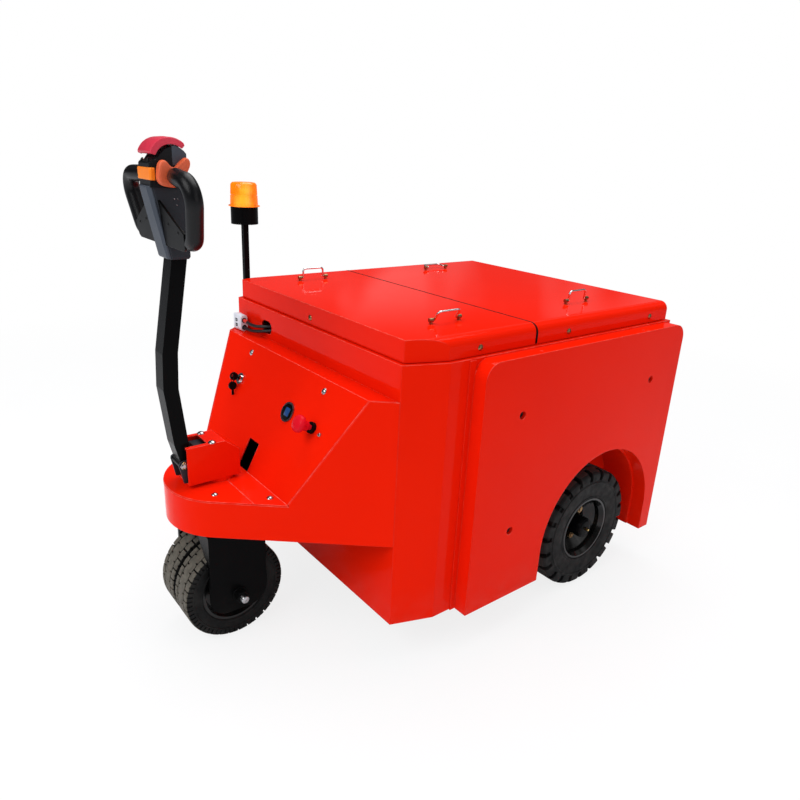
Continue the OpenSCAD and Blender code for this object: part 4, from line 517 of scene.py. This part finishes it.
def make_plug():
    """Grey two-pole battery plug: two round cable barrels on a flat-sided shell with a stepped mating end."""
    x0, x1, yc, zc = -0.3480, -0.3000, -0.22016, 0.67852
    bm = bmesh.new()
    rings = []
    for x, half_y, half_z, r in ((x0, 0.0080, 0.0198, 0.002), (x0 + 0.0006, 0.0088, 0.0206, 0.0024),
                                 (x0 + 0.0120, 0.0088, 0.0206, 0.0024), (x0 + 0.0126, 0.0100, 0.0222, 0.0040),
                                 (x0 + 0.0300, 0.0102, 0.0225, 0.0085), (x1 - 0.0010, 0.0102, 0.0225, 0.0090),
                                 (x1, 0.0094, 0.0217, 0.0085)):
        rings.append([(x, y, z) for y, z in rounded_box(yc - half_y, yc + half_y, zc - half_z, zc + half_z, r)])
    add_loft(bm, rings)
    shell = piece("plug_shell", bm, "silver_plastic", "chassis", ("battery_plug",), sharp=30.0)
    bm = bmesh.new()
    for s in (-1, 1):
        for x, width, z, height in ((x0 + 0.0165, 0.0032, 0.0, 0.0100), (x0 + 0.0205, 0.0052, -0.0032, 0.0036),
                                    (x0 + 0.0205, 0.0052, 0.0030, 0.0040), (x0 + 0.0256, 0.0036, 0.0008, 0.0084)):
            zz = zc - 0.0014 + s * 0.0068 + z * 0.8
            outline = rounded_box(yc - 0.0104, yc - 0.0080, zz - height / 2, zz + height / 2, 0.0004, 1)
            add_prism(bm, outline, x - width / 2, x + width / 2)
    for z in (UPPER_PLUG.z, LOWER_PLUG.z):
        add_disc(bm, (x1 - 0.002, yc, z), (1, 0, 0), [(0.0066, 0.0), (0.0072, 0.0021), (0.0070, 0.0026),
                                                      (0.0052, 0.0027)], 28)
    ports = piece("plug_ports", bm, "black_plastic", "chassis", sharp=30.0)
    bm = bmesh.new()
    route = route_points(UPPER_ROUTE)
    add_tube(bm, smooth_path([route[-2] + Vector((0.016, 0, -0.0012)), route[-2] + Vector((0.008, 0, -0.0006)),
                              route[-2] - Vector((0.004, 0, 0))], 5), CABLE_D / 2 + 0.0004, 20)
    return [shell, ports, piece("cable_sleeve", bm, "sleeve_red", "chassis")]


def make_cables():
    """The plug and the two cables that end in it."""
    on_plug = make_plug()
    upper = make_cord("cable_upper", route_points(UPPER_ROUTE), ("battery_cables",))
    lower = make_cord("cable_lower", route_points(LOWER_ROUTE))


# Tyres: each tread slot lowers the profile points that have a slot depth

SLOT_FLANK = 0.012


def add_tyre(bm, centre, flip, profile, pitches, share, both):
    """Revolves (radius, x, slot depth on side A, on side B, sideways depth).

    The slots of the two sides are staggered, and share is their part of a pitch. The sideways depth counts at
    every slot, or only at those of its own side."""
    steps = []
    for k in range(pitches):
        for t, a, b in ((0.0, 0, 0), (SLOT_FLANK, 1, 0), (share, 1, 0), (share + SLOT_FLANK, 0, 0),
                        (0.5, 0, 0), (0.5 + SLOT_FLANK, 0, 1), (0.5 + share, 0, 1), (0.5 + SLOT_FLANK + share, 0, 0)):
            steps.append(((k + t) / pitches * 2 * math.pi, a, b))
    rings = []
    for angle, a, b in steps:
        c, s = math.cos(angle), math.sin(angle)
        ring = []
        for r, x, da, db, dx in profile:
            low = r - da * a - db * b
            out = x + dx * (a + b if both else a if dx > 0 else b)
            ring.append(bm.verts.new((centre[0] + flip * out, centre[1] + low * c, centre[2] + low * s)))
        rings.append(ring)
    n = len(profile)
    for p, q in zip(rings, rings[1:] + rings[:1]):
        for j in range(n):
            bm.faces.new((p[j], p[(j + 1) % n], q[(j + 1) % n], q[j]))


def mirrored(half, centre):
    """The other side of a tyre profile, with the slots of side A on side B."""
    return half + [(r, 2 * centre - x, db, da, -dx) for r, x, da, db, dx in reversed(half)]


FRONT_TYRE = mm(mirrored([
    (77.6, 13.8, 0, 0, 0), (82.4, 9.3, 0, 0, 0), (83.4, 6.7, 0, 0, 0), (85.2, 5.7, 0, 0, 0), (87.6, 5.5, 0, 0, 0),
    (89, 6.9, 0, 0, 0), (97, 6.2, 0, 0, 0), (104.6, 5.7, 0, 0, 0), (105.4, 4.5, 0, 0, 0), (107.4, 4.1, 0, 0, 0),
    (109.2, 4.3, 0, 0, 0), (109.8, 5.3, 0, 0, 0), (110.6, 5.2, 0, 0, 2.2), (115.0, 4.9, 0, 0, 2.6),
    (119.5, 5.3, 2, 2, 2.2), (122.8, 6.5, 5, 2, 1.0), (124.6, 8.9, 5.5, 0, 0), (125, 11.8, 5.5, 0, 0),
    (125, 21.9, 5.5, 0, 0), (124.8, 22.5, 5, 0, 0), (119.6, 22.9, 0, 0, 0), (119.6, 25.5, 0, 0, 0),
    (124.8, 25.9, 0, 3, 0), (125, 26.5, 0, 5, 0), (125, 31.9, 0, 5, 0), (125, 32.7, 0, 0, 0)], 41.475))
REAR_TYRE = mm(mirrored([
    (84.4, 359.5, 0, 0, 0), (90.7, 353.5, 0, 0, 0), (92, 348.6, 0, 0, 0), (94, 345.8, 0, 0, 0),
    (97.6, 345.2, 0, 0, 0), (99, 346.6, 0, 0, 0), (110, 344.6, 0, 0, 0), (124, 343.4, 0, 0, 0),
    (136, 343.6, 0, 0, 0), (137.4, 342.4, 0, 0, 0), (141, 342.4, 0, 0, 0), (142.6, 344.0, 0, 0, 0),
    (146.6, 344.2, 0, 0, 1.0), (148, 344.0, 0, 0, 6.0), (158, 344.2, 2, 0, 7.0), (165.5, 346.0, 8, 0, 5.0),
    (170.6, 350.4, 15, 0, 1.0), (172.6, 355.4, 15, 0, 0), (173, 362, 15, 0, 0), (173, 373.4, 14, 0, 0),
    (173, 374.6, 0, 0, 0), (173, 380.6, 0, 0, 0), (165.5, 382.0, 0, 0, 0), (165.5, 384.4, 0, 0, 0)], 387.0))


def make_tyres():
    """Front tyres with narrow slots in wide shoulders, rear tyres with deep lugs."""
    for side, flip in SIDES:
        bm = bmesh.new()
        add_tyre(bm, (0, FRONT_Y, FRONT_R), flip, FRONT_TYRE, pitches=30, share=0.15, both=True)
        piece("front_tread_" + side, bm, "front_rubber", "front_wheel_" + side, ("front_tyre_" + side,), sharp=24.0)
        bm = bmesh.new()
        add_tyre(bm, (0, REAR_Y, REAR_R), flip, REAR_TYRE, pitches=22, share=0.3, both=False)
        piece("rear_tread_" + side, bm, "rear_rubber", "rear_wheel_" + side, ("rear_tyre_" + side,), sharp=24.0)


# Tiller head

HEAD_HALF = 0.0361
FRONT_FACE = -0.5596
BACK_FACE = -0.4874
COLUMN_HALF = 0.0286
CAP = Vector((0.0, -0.5178, 1.1020))
WING = Vector((0.0, -0.5358, 1.0739))
LOOP_LEAN = math.atan(0.12)


def make_head():
    """Column and cap block with thin slate sheets on the rear of the cap's sides, screws and rivets; the cap's side
    faces turn in towards the front. The slate sheets are painted light on the cap's rear facets, and the column's
    lighter plastic is painted light on its lit sides.
    """
    bm = bmesh.new()
    cut = 0.0022
    rings = []
    for z, front, back, k in ((0.9150, -0.5279, -0.4900, 0.94), (0.9194, -0.5285, BACK_FACE, 1.0),
                              (1.0558, -0.5561, BACK_FACE, 1.0)):
        w = COLUMN_HALF * k
        rings.append([(-w + cut, front, z), (w - cut, front, z), (w, front + cut, z), (w, back - cut, z),
                      (w - cut, back, z), (-w + cut, back, z), (-w, back - cut, z), (-w, front + cut, z)])
    add_loft(bm, rings)
    # Column in the lighter copy of the head plastic: painted light on its lit sides
    piece("head_column", bm, "column_plastic_painted_lit", "tiller", ("head_body",), bevel=0.001, sharp=20.0)
    bm = bmesh.new()
    cut = 0.0012
    rings = []
    for y, top, half in ((FRONT_FACE, 1.0985, 0.0306), (-0.5570, 1.1018, 0.0309), (-0.5485, 1.1040, 0.0318),
                         (-0.5400, 1.1148, 0.0330), (-0.5270, 1.1270, 0.0346), (-0.5120, 1.1318, 0.0360),
                         (-0.5040, 1.1310, 0.0360), (-0.4925, 1.1235, 0.0356), (BACK_FACE, 1.1180, 0.0352)):
        low = 1.0542 if y < -0.53 else 1.0536
        rings.append([(-half, y, low), (half, y, low), (half, y, top - cut), (half - cut, y, top),
                      (cut - half, y, top), (-half, y, top - cut)])
    add_loft(bm, rings)
    piece("head_cap", bm, "head_plastic", "tiller", bevel=0.0012, sharp=4.0)
    # Thin slate sheets on the rear of the cap's sides: painted light on the facets that catch the light
    bm = bmesh.new()
    for s in (-1, 1):
        rings = []
        for lift in (-0.0004, 0.0004):
            rings.append([(s * (half + lift), y, z) for y, z, half in (
                (-0.5160, 1.0960, 0.0357), (-0.5160, 1.1306, 0.0357), (-0.5100, 1.1312, 0.0360),
                (-0.5040, 1.1298, 0.0360), (-0.4925, 1.1222, 0.0356), (-0.4884, 1.1170, 0.0353),
                (-0.4884, 1.0560, 0.0353), (-0.5100, 1.0560, 0.0360), (-0.5100, 1.0960, 0.0360))])
        add_loft(bm, rings)
    piece("cap_rear_painted_light", bm, "spine_plastic", "tiller", sharp=1.0)
    bm = bmesh.new()
    for x in (-0.0165, 0.0165):
        add_disc(bm, (x, -0.5568, 1.1040), (0, -0.86, 0.51), [(0.0042, -0.001), (0.0042, 0.0007), (0.0034, 0.0011),
                                                              (0.0028, 0.0002)], 20)
    piece("cap_screws", bm, "dark_screw", "tiller")
    bm = bmesh.new()
    for s in (-1, 1):
        for y, z, r in ((-0.5140, 1.0335, 0.0011), (-0.5100, 1.0215, 0.0010), (-0.5075, 1.0330, 0.0009)):
            add_disc(bm, (s * COLUMN_HALF, y, z), (s, 0, 0), [(r, -0.0005), (r, 0.0004), (r * 0.6, 0.0007)], 12)
    piece("column_rivets", bm, "zinc", "tiller")


def make_spine():
    """Slate cover down the front of the column, chamfered along both sides, with a blunt top."""
    bm = bmesh.new()
    rings = []
    for z, front, back, half, cut in (
            (0.9166, -0.5340, -0.5284, 0.0262, 0.0030), (0.9200, -0.5362, -0.5288, 0.0272, 0.0042),
            (1.0500, -0.5640, -0.5550, 0.0272, 0.0078), (1.0550, -0.5642, -0.5560, 0.0272, 0.0080),
            (1.0574, -0.5630, -0.5594, 0.0262, 0.0034)):
        shoulder = min(front + cut * 0.9, back - 0.0004)
        rings.append([(cut - half, front, z), (half - cut, front, z), (half, shoulder, z),
                      (half, back, z), (-half, back, z), (-half, shoulder, z)])
    add_loft(bm, rings)
    piece("spine_shell", bm, "spine_plastic", "tiller", ("spine_cover",), bevel=0.0009, sharp=18.0)


def make_pad():
    """Belly button: a thick arched pad with rounded edges and a lip at each end."""
    bm = bmesh.new()
    rings = []
    count, start, sweep = 26, 160, 112
    half, wall = HEAD_HALF + 0.0011, HEAD_HALF + 0.0006
    for i in range(count + 1):
        t = i / count
        a = math.radians(start - sweep * t)
        end = i in (0, count)
        outer = 0.0438 + 0.0012 * math.sin(math.pi * t) - (0.0026 if end else 0.0)
        inner = 0.0354 + (0.0016 if end else 0.0)
        skirt = inner - 0.0034
        edge = 0.0014 if end else 0.0036
        turn = edge * 0.3
        d = Vector((0, math.cos(a), math.sin(a)))
        section = [(-half, skirt), (-half, outer - edge), (turn - half, outer - turn),
                   (edge - half, outer), (0.0, outer + 0.0008), (half - edge, outer),
                   (half - turn, outer - turn), (half, outer - edge), (half, skirt),
                   (wall, skirt), (wall, inner), (-wall, inner), (-wall, skirt)]
        rings.append([CAP + d * r + Vector((x, 0, 0)) for x, r in section])
    add_loft(bm, rings)
    piece("belly_shell", bm, "belly_red", "belly", ("belly_pad",), bevel=0.0008, sharp=40.0)


def make_horn():
    """Orange button across the front of the cap, with its upright edges cut off."""
    bm = bmesh.new()
    cut = 0.003
    rings = []
    for z, grow in ((1.0676, -0.0012), (1.0690, 0.0), (1.0894, 0.0), (1.0908, -0.0012)):
        front, back, half = FRONT_FACE - 0.0016 - grow, -0.5510, HEAD_HALF + grow
        rings.append([(cut - half, front, z), (half - cut, front, z), (half, front + cut, z), (half, back, z),
                      (-half, back, z), (-half, front + cut, z)])
    add_loft(bm, rings)
    piece("horn_cap", bm, "orange", "horn", ("horn_button",), bevel=0.0008, sharp=25.0)


WING_SIZE = 0.02112


def make_wings():
    """Throttle levers: a round hub with a short front ear and a long rear ear, scooped between them."""
    outline = [(-0.78, 0.0), (-0.68, -0.42), (-0.40, -0.70), (0.0, -0.80), (0.36, -0.86), (0.75, -0.89),
               (1.14, -0.80), (1.40, -0.56), (1.62, -0.10), (2.02, 0.48), (2.30, 0.98), (2.36, 1.38), (2.22, 1.68),
               (1.98, 1.80), (1.70, 1.58), (1.38, 1.20), (1.12, 0.95), (0.82, 0.86), (0.52, 0.93), (0.30, 1.18),
               (0.12, 1.42), (-0.12, 1.54), (-0.38, 1.44), (-0.58, 1.14), (-0.70, 0.60)]
    for side, flip in SIDES:
        bm = bmesh.new()
        rings = []
        for depth, swell in ((0.0004, 0.90), (0.0020, 0.98), (0.0070, 1.0), (0.0135, 1.0), (0.0185, 0.97),
                             (0.0203, 0.88)):
            x = flip * (HEAD_HALF + depth)
            rings.append([(x, WING.y + y * WING_SIZE * swell, WING.z + z * WING_SIZE * swell) for y, z in outline])
        add_loft(bm, rings)
        piece("throttle_" + side, bm, "wing_orange", "throttle", ("wing_" + side,), subsurf=1, sharp=60.0)


def loop_place(x, h, lift=0.0):
    """A place in the tilted plane of the grips: x outward, h up, lift square to the plane."""
    s, c = math.sin(LOOP_LEAN), math.cos(LOOP_LEAN)
    return Vector((x, WING.y - h * s + lift * c, WING.z + h * c + lift * s))


def loop_arc(cx, ch, r, start, end, count):
    """Points on an arc in the grips' plane, from one angle in degrees to the other."""
    return [(cx + r * math.cos(math.radians(start + (end - start) * k / count)),
             ch + r * math.sin(math.radians(start + (end - start) * k / count))) for k in range(count + 1)]


BAR_R = 0.0165
BAR_LOW = -0.1131


def make_grips():
    """Closed grips: thick rubber-covered bar on a thinner root, with a web filling the lower corner."""
    top, low = (0.1360, -0.0340, 0.0340), (0.1266, -0.0930, 0.0201)
    root = [(0.0290, 0.0, 0.0150), (0.0380, 0.0, 0.0150), (0.0560, 0.0005, 0.0148), (0.0600, 0.0007, 0.0145),
            (0.0660, 0.0009, 0.0138), (0.0900, 0.0012, 0.0078), (0.1150, 0.0006, 0.0018)]
    flat = root + [(x, h, 0.0) for x, h in loop_arc(*top, 90, -22.5, 12) + loop_arc(*low, -22.5, -90, 8)
                   + [(x, BAR_LOW) for x in (0.1000, 0.0700, 0.0400, 0.0240)]]
    neck = [0.0132, 0.0132, 0.0134, 0.0150, 0.0163]
    radius = neck + [BAR_R] * (len(flat) - len(neck))
    for side, flip in SIDES:
        bm = bmesh.new()
        add_tube(bm, [loop_place(flip * x, h, lift) for x, h, lift in flat], radius, 32)
        piece("grip_" + side, bm, "grip_rubber", "tiller", ("grip_loops",) if side == "l" else (), sharp=60.0)
        web = [(0.0240, -0.1290), (0.1200, -0.1290), (0.1290, -0.1235), (0.1335, -0.0950), (0.0240, -0.0385)]
        bm = bmesh.new()
        add_loft(bm, [[loop_place(flip * x, h, lift) for x, h in web] for lift in (-BAR_R, -0.0115)])
        piece("grip_web_" + side, bm, "black_plastic", "tiller", bevel=0.0012)
        bm = bmesh.new()
        for x, h in ((0.0620, -0.0840), (0.1060, -0.0950)):
            add_disc(bm, loop_place(flip * x, h, -0.0164), loop_place(0, 0, -1) - loop_place(0, 0), [
                (0.0030, 0.0), (0.0030, 0.0006), (0.0021, 0.0011), (0.0014, 0.0003)], 16)
        piece("web_screws_" + side, bm, "dark_screw", "tiller")


# Panel fittings, bolts and hubs; the places on the sloped panel are (u, v)

GAUGE_AT = (0.0810, 0.17668)
STOP_AT = (0.1920, 0.17553)
PILOT_AT = (0.2260, 0.1710)
PIVOT = Vector((0, -0.5340, 0.4600))


def make_gauge():
    """Black face and blue screen of the charge gauge."""
    u, v = GAUGE_AT
    bm = bmesh.new()
    add_disc(bm, slope_place(u, v, 0.0015), SLOPE_OUT, [(0.0199, 0.0), (0.0199, 0.0006), (0.0190, 0.0009)])
    piece("gauge_face", bm, "black_plastic", "chassis")
    bm = bmesh.new()
    rings = []
    for h, k in ((0.0023, 1.0), (0.0030, 1.0), (0.0033, 0.94)):
        rings.append([slope_place(u + x * 0.0092 * k, v + y * 0.0100 * k, h)
                      for x, y in ((-1, -1), (1, -1), (1, 1), (-1, 1))])
    add_loft(bm, rings)
    piece("gauge_screen", bm, "screen", "chassis")


def make_stop():
    """Mushroom button with a soft crowned face, a waist and a stem, and the small screw beside it."""
    bm = bmesh.new()
    add_disc(bm, slope_place(*STOP_AT, 0.0), SLOPE_OUT, [
        (0.0060, -0.014), (0.0060, 0.016), (0.0105, 0.0165), (0.0118, 0.0185), (0.0112, 0.024), (0.0125, 0.028),
        (0.0165, 0.0315), (0.0192, 0.0345), (0.0200, 0.0380), (0.0197, 0.0415), (0.0182, 0.0445), (0.0150, 0.0465),
        (0.0100, 0.0478), (0.0045, 0.0484)], 48)
    piece("stop_mushroom", bm, "stop_red", "stop", ("stop_button",), sharp=70.0)
    bm = bmesh.new()
    add_disc(bm, slope_place(*PILOT_AT, 0.0), SLOPE_OUT, [
        (0.0045, 0.0), (0.0045, 0.003), (0.0036, 0.0045), (0.0015, 0.0052)], 24)
    piece("pilot_screw", bm, "zinc", "chassis")


def make_lid_gap_painted_shade():
    """Dark edge strip over the front edge of the rear lid, wider down its two sides: painted shade standing for the
    shadowed gap between the lids.
    """
    half, top, low, r, y = 0.4, 0.786, 0.7395, 0.022, 0.1712
    wide_side, narrowing, count = 0.0052, 0.0034, 8
    inside, outside = -0.0004, 0.0005
    side = [(half, low, wide_side), (half, top - r, wide_side)]
    side += [(half - r + r * math.cos(t), top - r + r * math.sin(t), wide_side - narrowing * t / (math.pi / 2))
             for t in (math.pi / 2 / count * k for k in range(1, count + 1))]
    path = side + [(-x, z, w) for x, z, w in reversed(side)]
    rings = []
    for i, (x, z, width) in enumerate(path):
        a, b = path[max(i - 1, 0)], path[min(i + 1, len(path) - 1)]
        out = Vector((b[1] - a[1], 0, a[0] - b[0])).normalized()
        rings.append([Vector((x, y + wide, z)) + out * lift for wide, lift in
                      ((0, inside), (0, outside), (width, outside), (width, inside))])
    bm = bmesh.new()
    add_loft(bm, rings)
    # The dark strip is painted shade in the gap between the lids
    piece("lid_gap_painted_shade", bm, "black_plastic", "rear_lid", sharp=30.0)


def make_axle_ends():
    """Black washers and nuts on the front axle bolt, whose silver ends stand out with a centre mark."""
    place = Vector((0, FRONT_Y, FRONT_R))
    nuts, bolt = bmesh.new(), bmesh.new()
    for s in (-1, 1):
        out = (s, 0, 0)
        add_disc(nuts, place, out, [(0.0190, 0.09775), (0.0190, 0.1004), (0.0185, 0.1008)], 40)
        add_disc(nuts, place, out, [(0.0150, 0.1008), (0.0165, 0.1020), (0.0165, 0.1160), (0.0150, 0.1176)], 6, 0.3)
        add_disc(bolt, place, out, [(0.0098, 0.095), (0.0098, 0.1270), (0.0088, 0.1292), (0.0062, 0.1304),
                                    (0.0024, 0.1308), (0.0016, 0.1298)], 36)
    add_disc(bolt, place, (1, 0, 0), [(0.0098, -0.0951), (0.0098, 0.0951)], 36)
    piece("axle_nuts", nuts, "black_paint", "steer", sharp=25.0)
    piece("axle_bolt", bolt, "zinc", "steer", ("front_axle",), sharp=40.0)


def make_pivot():
    """Pivot bolt of the tiller with hex ends and a brass cotter pin."""
    shank = 0.0048
    bm = bmesh.new()
    for s in (-1, 1):
        add_disc(bm, PIVOT, (s, 0, 0), [(0.0080, 0.0271), (0.0087, 0.0276), (0.0087, 0.0300), (0.0079, 0.0306)],
                 6, 0.25)
        add_disc(bm, PIVOT, (s, 0, 0), [(shank, 0.0262), (shank, 0.0326), (0.0040, 0.0332)], 24)
    add_disc(bm, PIVOT, (1, 0, 0), [(shank, -0.0263), (shank, 0.0263)], 24)
    piece("pivot_bolt", bm, "zinc", "steer", ("pivot_pin",), sharp=30.0)
    bm = bmesh.new()
    loop = [PIVOT + Vector((0.0316, y, z)) for y, z in
            ((0.0030, -0.0075), (0.0012, -0.0050), (0.0006, 0.0), (0.0010, 0.0046), (0.0030, 0.0078), (0.0002, 0.0100),
             (-0.0026, 0.0078), (-0.0010, 0.0046), (-0.0006, 0.0), (-0.0014, -0.0048), (-0.0034, -0.0068))]
    add_tube(bm, smooth_path(loop, 4), 0.0008, 10)
    piece("cotter_pin", bm, "gold", "steer")


def make_nipples():
    """Brass grease nipples in the middle of the rear hub caps."""
    place = Vector((0, REAR_Y, REAR_R))
    for side, s in SIDES:
        bm = bmesh.new()
        add_disc(bm, place, (s, 0, 0), [(0.0048, 0.4292), (0.0048, 0.4350), (0.0044, 0.4356)], 6)
        add_disc(bm, place, (s, 0, 0), [(0.0046, 0.4345), (0.0046, 0.4376), (0.0036, 0.4390), (0.0020, 0.4394)], 20)
        piece("grease_nipple_" + side, bm, "gold", "rear_wheel_" + side, sharp=30.0)


LENS_SIDES = 144
LENS_RIB = 0.0004


def make_lens():
    """Amber beacon lens with a flange, a groove round the middle and fine upright ribs; three screws hold it."""
    bm = bmesh.new()
    rings = []
    for r, h, rib in ((0.0330, 0.0002, 0), (0.0423, 0.0002, 0), (0.0425, 0.0014, 0), (0.0423, 0.0030, 0),
                      (0.0374, 0.0040, 0), (0.0371, 0.0050, 1), (0.0362, 0.0290, 1), (0.0350, 0.0298, 0),
                      (0.0350, 0.0312, 0), (0.0360, 0.0320, 1), (0.0347, 0.0570, 1), (0.0335, 0.0600, 0),
                      (0.0305, 0.0628, 0), (0.0240, 0.0638, 0), (0.0120, 0.0640, 0)):
        ring = []
        for k in range(LENS_SIDES):
            t = 2 * math.pi * k / LENS_SIDES
            wide = r + (rib * LENS_RIB if k % 4 < 2 else 0.0)
            ring.append(BEACON + Vector((wide * math.cos(t), wide * math.sin(t), h)))
        rings.append(ring)
    add_loft(bm, rings)
    piece("lens_shell", bm, "amber_lens", "chassis", ("beacon_lens",), sharp=35.0)
    bm = bmesh.new()
    ring_r, screws = 0.0398, 3
    for k in range(screws):
        t = math.radians(-100 + 360 / screws * k)
        add_disc(bm, BEACON + Vector((ring_r * math.cos(t), ring_r * math.sin(t), 0.0028)), (0, 0, 1), [
            (0.0022, 0.0), (0.0022, 0.0012), (0.0012, 0.0016)], 14)
    piece("lens_screws", bm, "dark_screw", "chassis")


# Light, background and floor

WHITE = (1.0, 1.0, 1.0)
DIM = (0.60, 0.62, 0.66)
WALLS = [(0.0, 0.6), (0.2, 0.55), (0.25, 0.12), (0.33, 0.10), (0.42, 0.9)]
FLOOR_HALF = 30.0
FLOOR_FADE = (1.2, 3.5)
FLOOR_GLOW = (0.82, 1.0)
LAMPS = (("key", (0.4, -2.8, 2.9), (0.1, -0.1, 0.5), (2.6, 1.8), 62.0),
         ("fill", (3.6, 0.6, 1.8), (0.1, 0.1, 0.5), (2.4, 2.0), 12.0),
         ("top", (-0.3, 0.6, 3.4), (0.0, 0.1, 0.6), (2.6, 2.6), 72.0))


def soft_lamp(name, place, aim, size, power):
    """An area lamp at a place, turned towards its aim."""
    data = bpy.data.lights.new(name, "AREA")
    data.shape = "RECTANGLE"
    data.size, data.size_y = size
    data.energy = power
    lamp = bpy.data.objects.new(name, data)
    lamp.location = place
    lamp.rotation_euler = (Vector(aim) - Vector(place)).to_track_quat("-Z", "Y").to_euler()
    bpy.context.collection.objects.link(lamp)


def seen_rays(tree):
    """The light path, and a mask of the rays that see the plain white background."""
    path = tree.nodes.new("ShaderNodeLightPath")
    return path, maths(tree, "MAXIMUM", path.outputs["Is Camera Ray"], path.outputs["Is Transmission Ray"])


def make_world():
    """White to the camera. Gloss shows a room that is pale low down, dark above the horizon and white overhead.

    It is nearly black towards the front, dimmer again far back, and broken by dark patches."""
    world = bpy.data.worlds.new("studio")
    bpy.context.scene.world = world
    world.use_nodes = True
    tree = world.node_tree
    back = tree.nodes["Background"]
    coord = tree.nodes.new("ShaderNodeTexCoord")
    sep = tree.nodes.new("ShaderNodeSeparateXYZ")
    tree.links.new(coord.outputs["Generated"], sep.inputs["Vector"])
    walls = tree.nodes.new("ShaderNodeValToRGB")
    stops = walls.color_ramp.elements
    while len(stops) < len(WALLS):
        stops.new(0.5)
    for stop, (height, grey) in zip(stops, WALLS):
        stop.position = height
        stop.color = (grey, grey, grey, 1.0)
    tree.links.new(sep.outputs["Z"], walls.inputs["Fac"])
    path, seen = seen_rays(tree)
    patches = ramp(tree, noise(tree, coord.outputs["Generated"], 4.0, 3.0), 0.46, 0.54, 0.0, 0.75)
    shown = blend_colour(tree, ramp(tree, sep.outputs["Y"], 0.5, 0.69, 0.0, 0.55), walls.outputs["Color"], BLACK)
    shown = blend_colour(tree, ramp(tree, sep.outputs["Y"], 0.05, 0.4, 0.9, 0.0), shown, BLACK)
    shown = blend_colour(tree, patches, shown, BLACK)
    light = blend_colour(tree, path.outputs["Is Glossy Ray"], DIM, shown)
    tree.links.new(blend_colour(tree, seen, light, WHITE), back.inputs["Color"])
    back.inputs["Strength"].default_value = 1.0


def make_floor():
    """Plain pale floor that turns into the white background away from the vehicle."""
    bm = bmesh.new()
    bmesh.ops.create_grid(bm, x_segments=2, y_segments=2, size=FLOOR_HALF)
    mesh = bpy.data.meshes.new("floor")
    bm.to_mesh(mesh)
    bm.free()
    floor = bpy.data.objects.new("floor", mesh)
    bpy.context.collection.objects.link(floor)
    mat, tree, bsdf, coord = node_tree("floor")
    tint = blend_colour(tree, ramp(tree, noise(tree, coord, 3.0), 0.3, 0.7), (0.86, 0.86, 0.86), (0.89, 0.89, 0.89))
    tree.links.new(tint, bsdf.inputs["Base Color"])
    tree.links.new(ramp(tree, noise(tree, coord, 9.0), 0.3, 0.7, 0.86, 0.94), bsdf.inputs["Roughness"])
    surface(tree, bsdf, noise(tree, coord, 300.0), 0.05, 0.0004)
    glow = tree.nodes.new("ShaderNodeEmission")
    glow.inputs["Color"].default_value = (*WHITE, 1.0)
    mix = tree.nodes.new("ShaderNodeMixShader")
    far = ramp(tree, distance(tree, coord, (0.0, 0.0, 0.0)), *FLOOR_FADE, *FLOOR_GLOW)
    tree.links.new(multiply(tree, seen_rays(tree)[1], far), mix.inputs["Fac"])
    tree.links.new(bsdf.outputs[0], mix.inputs[1])
    tree.links.new(glow.outputs[0], mix.inputs[2])
    tree.links.new(mix.outputs[0], tree.nodes["Material Output"].inputs["Surface"])
    mesh.materials.append(mat)


make_camera()
make_cables()
make_tyres()
make_head()
make_spine()
make_pad()
make_horn()
make_wings()
make_grips()
make_gauge()
make_stop()
make_lid_gap_painted_shade()
make_axle_ends()
make_pivot()
make_nipples()
make_lens()

bpy.context.scene.view_settings.view_transform = "Standard"
make_world()
make_floor()
for lamp_row in LAMPS:
    soft_lamp(*lamp_row)
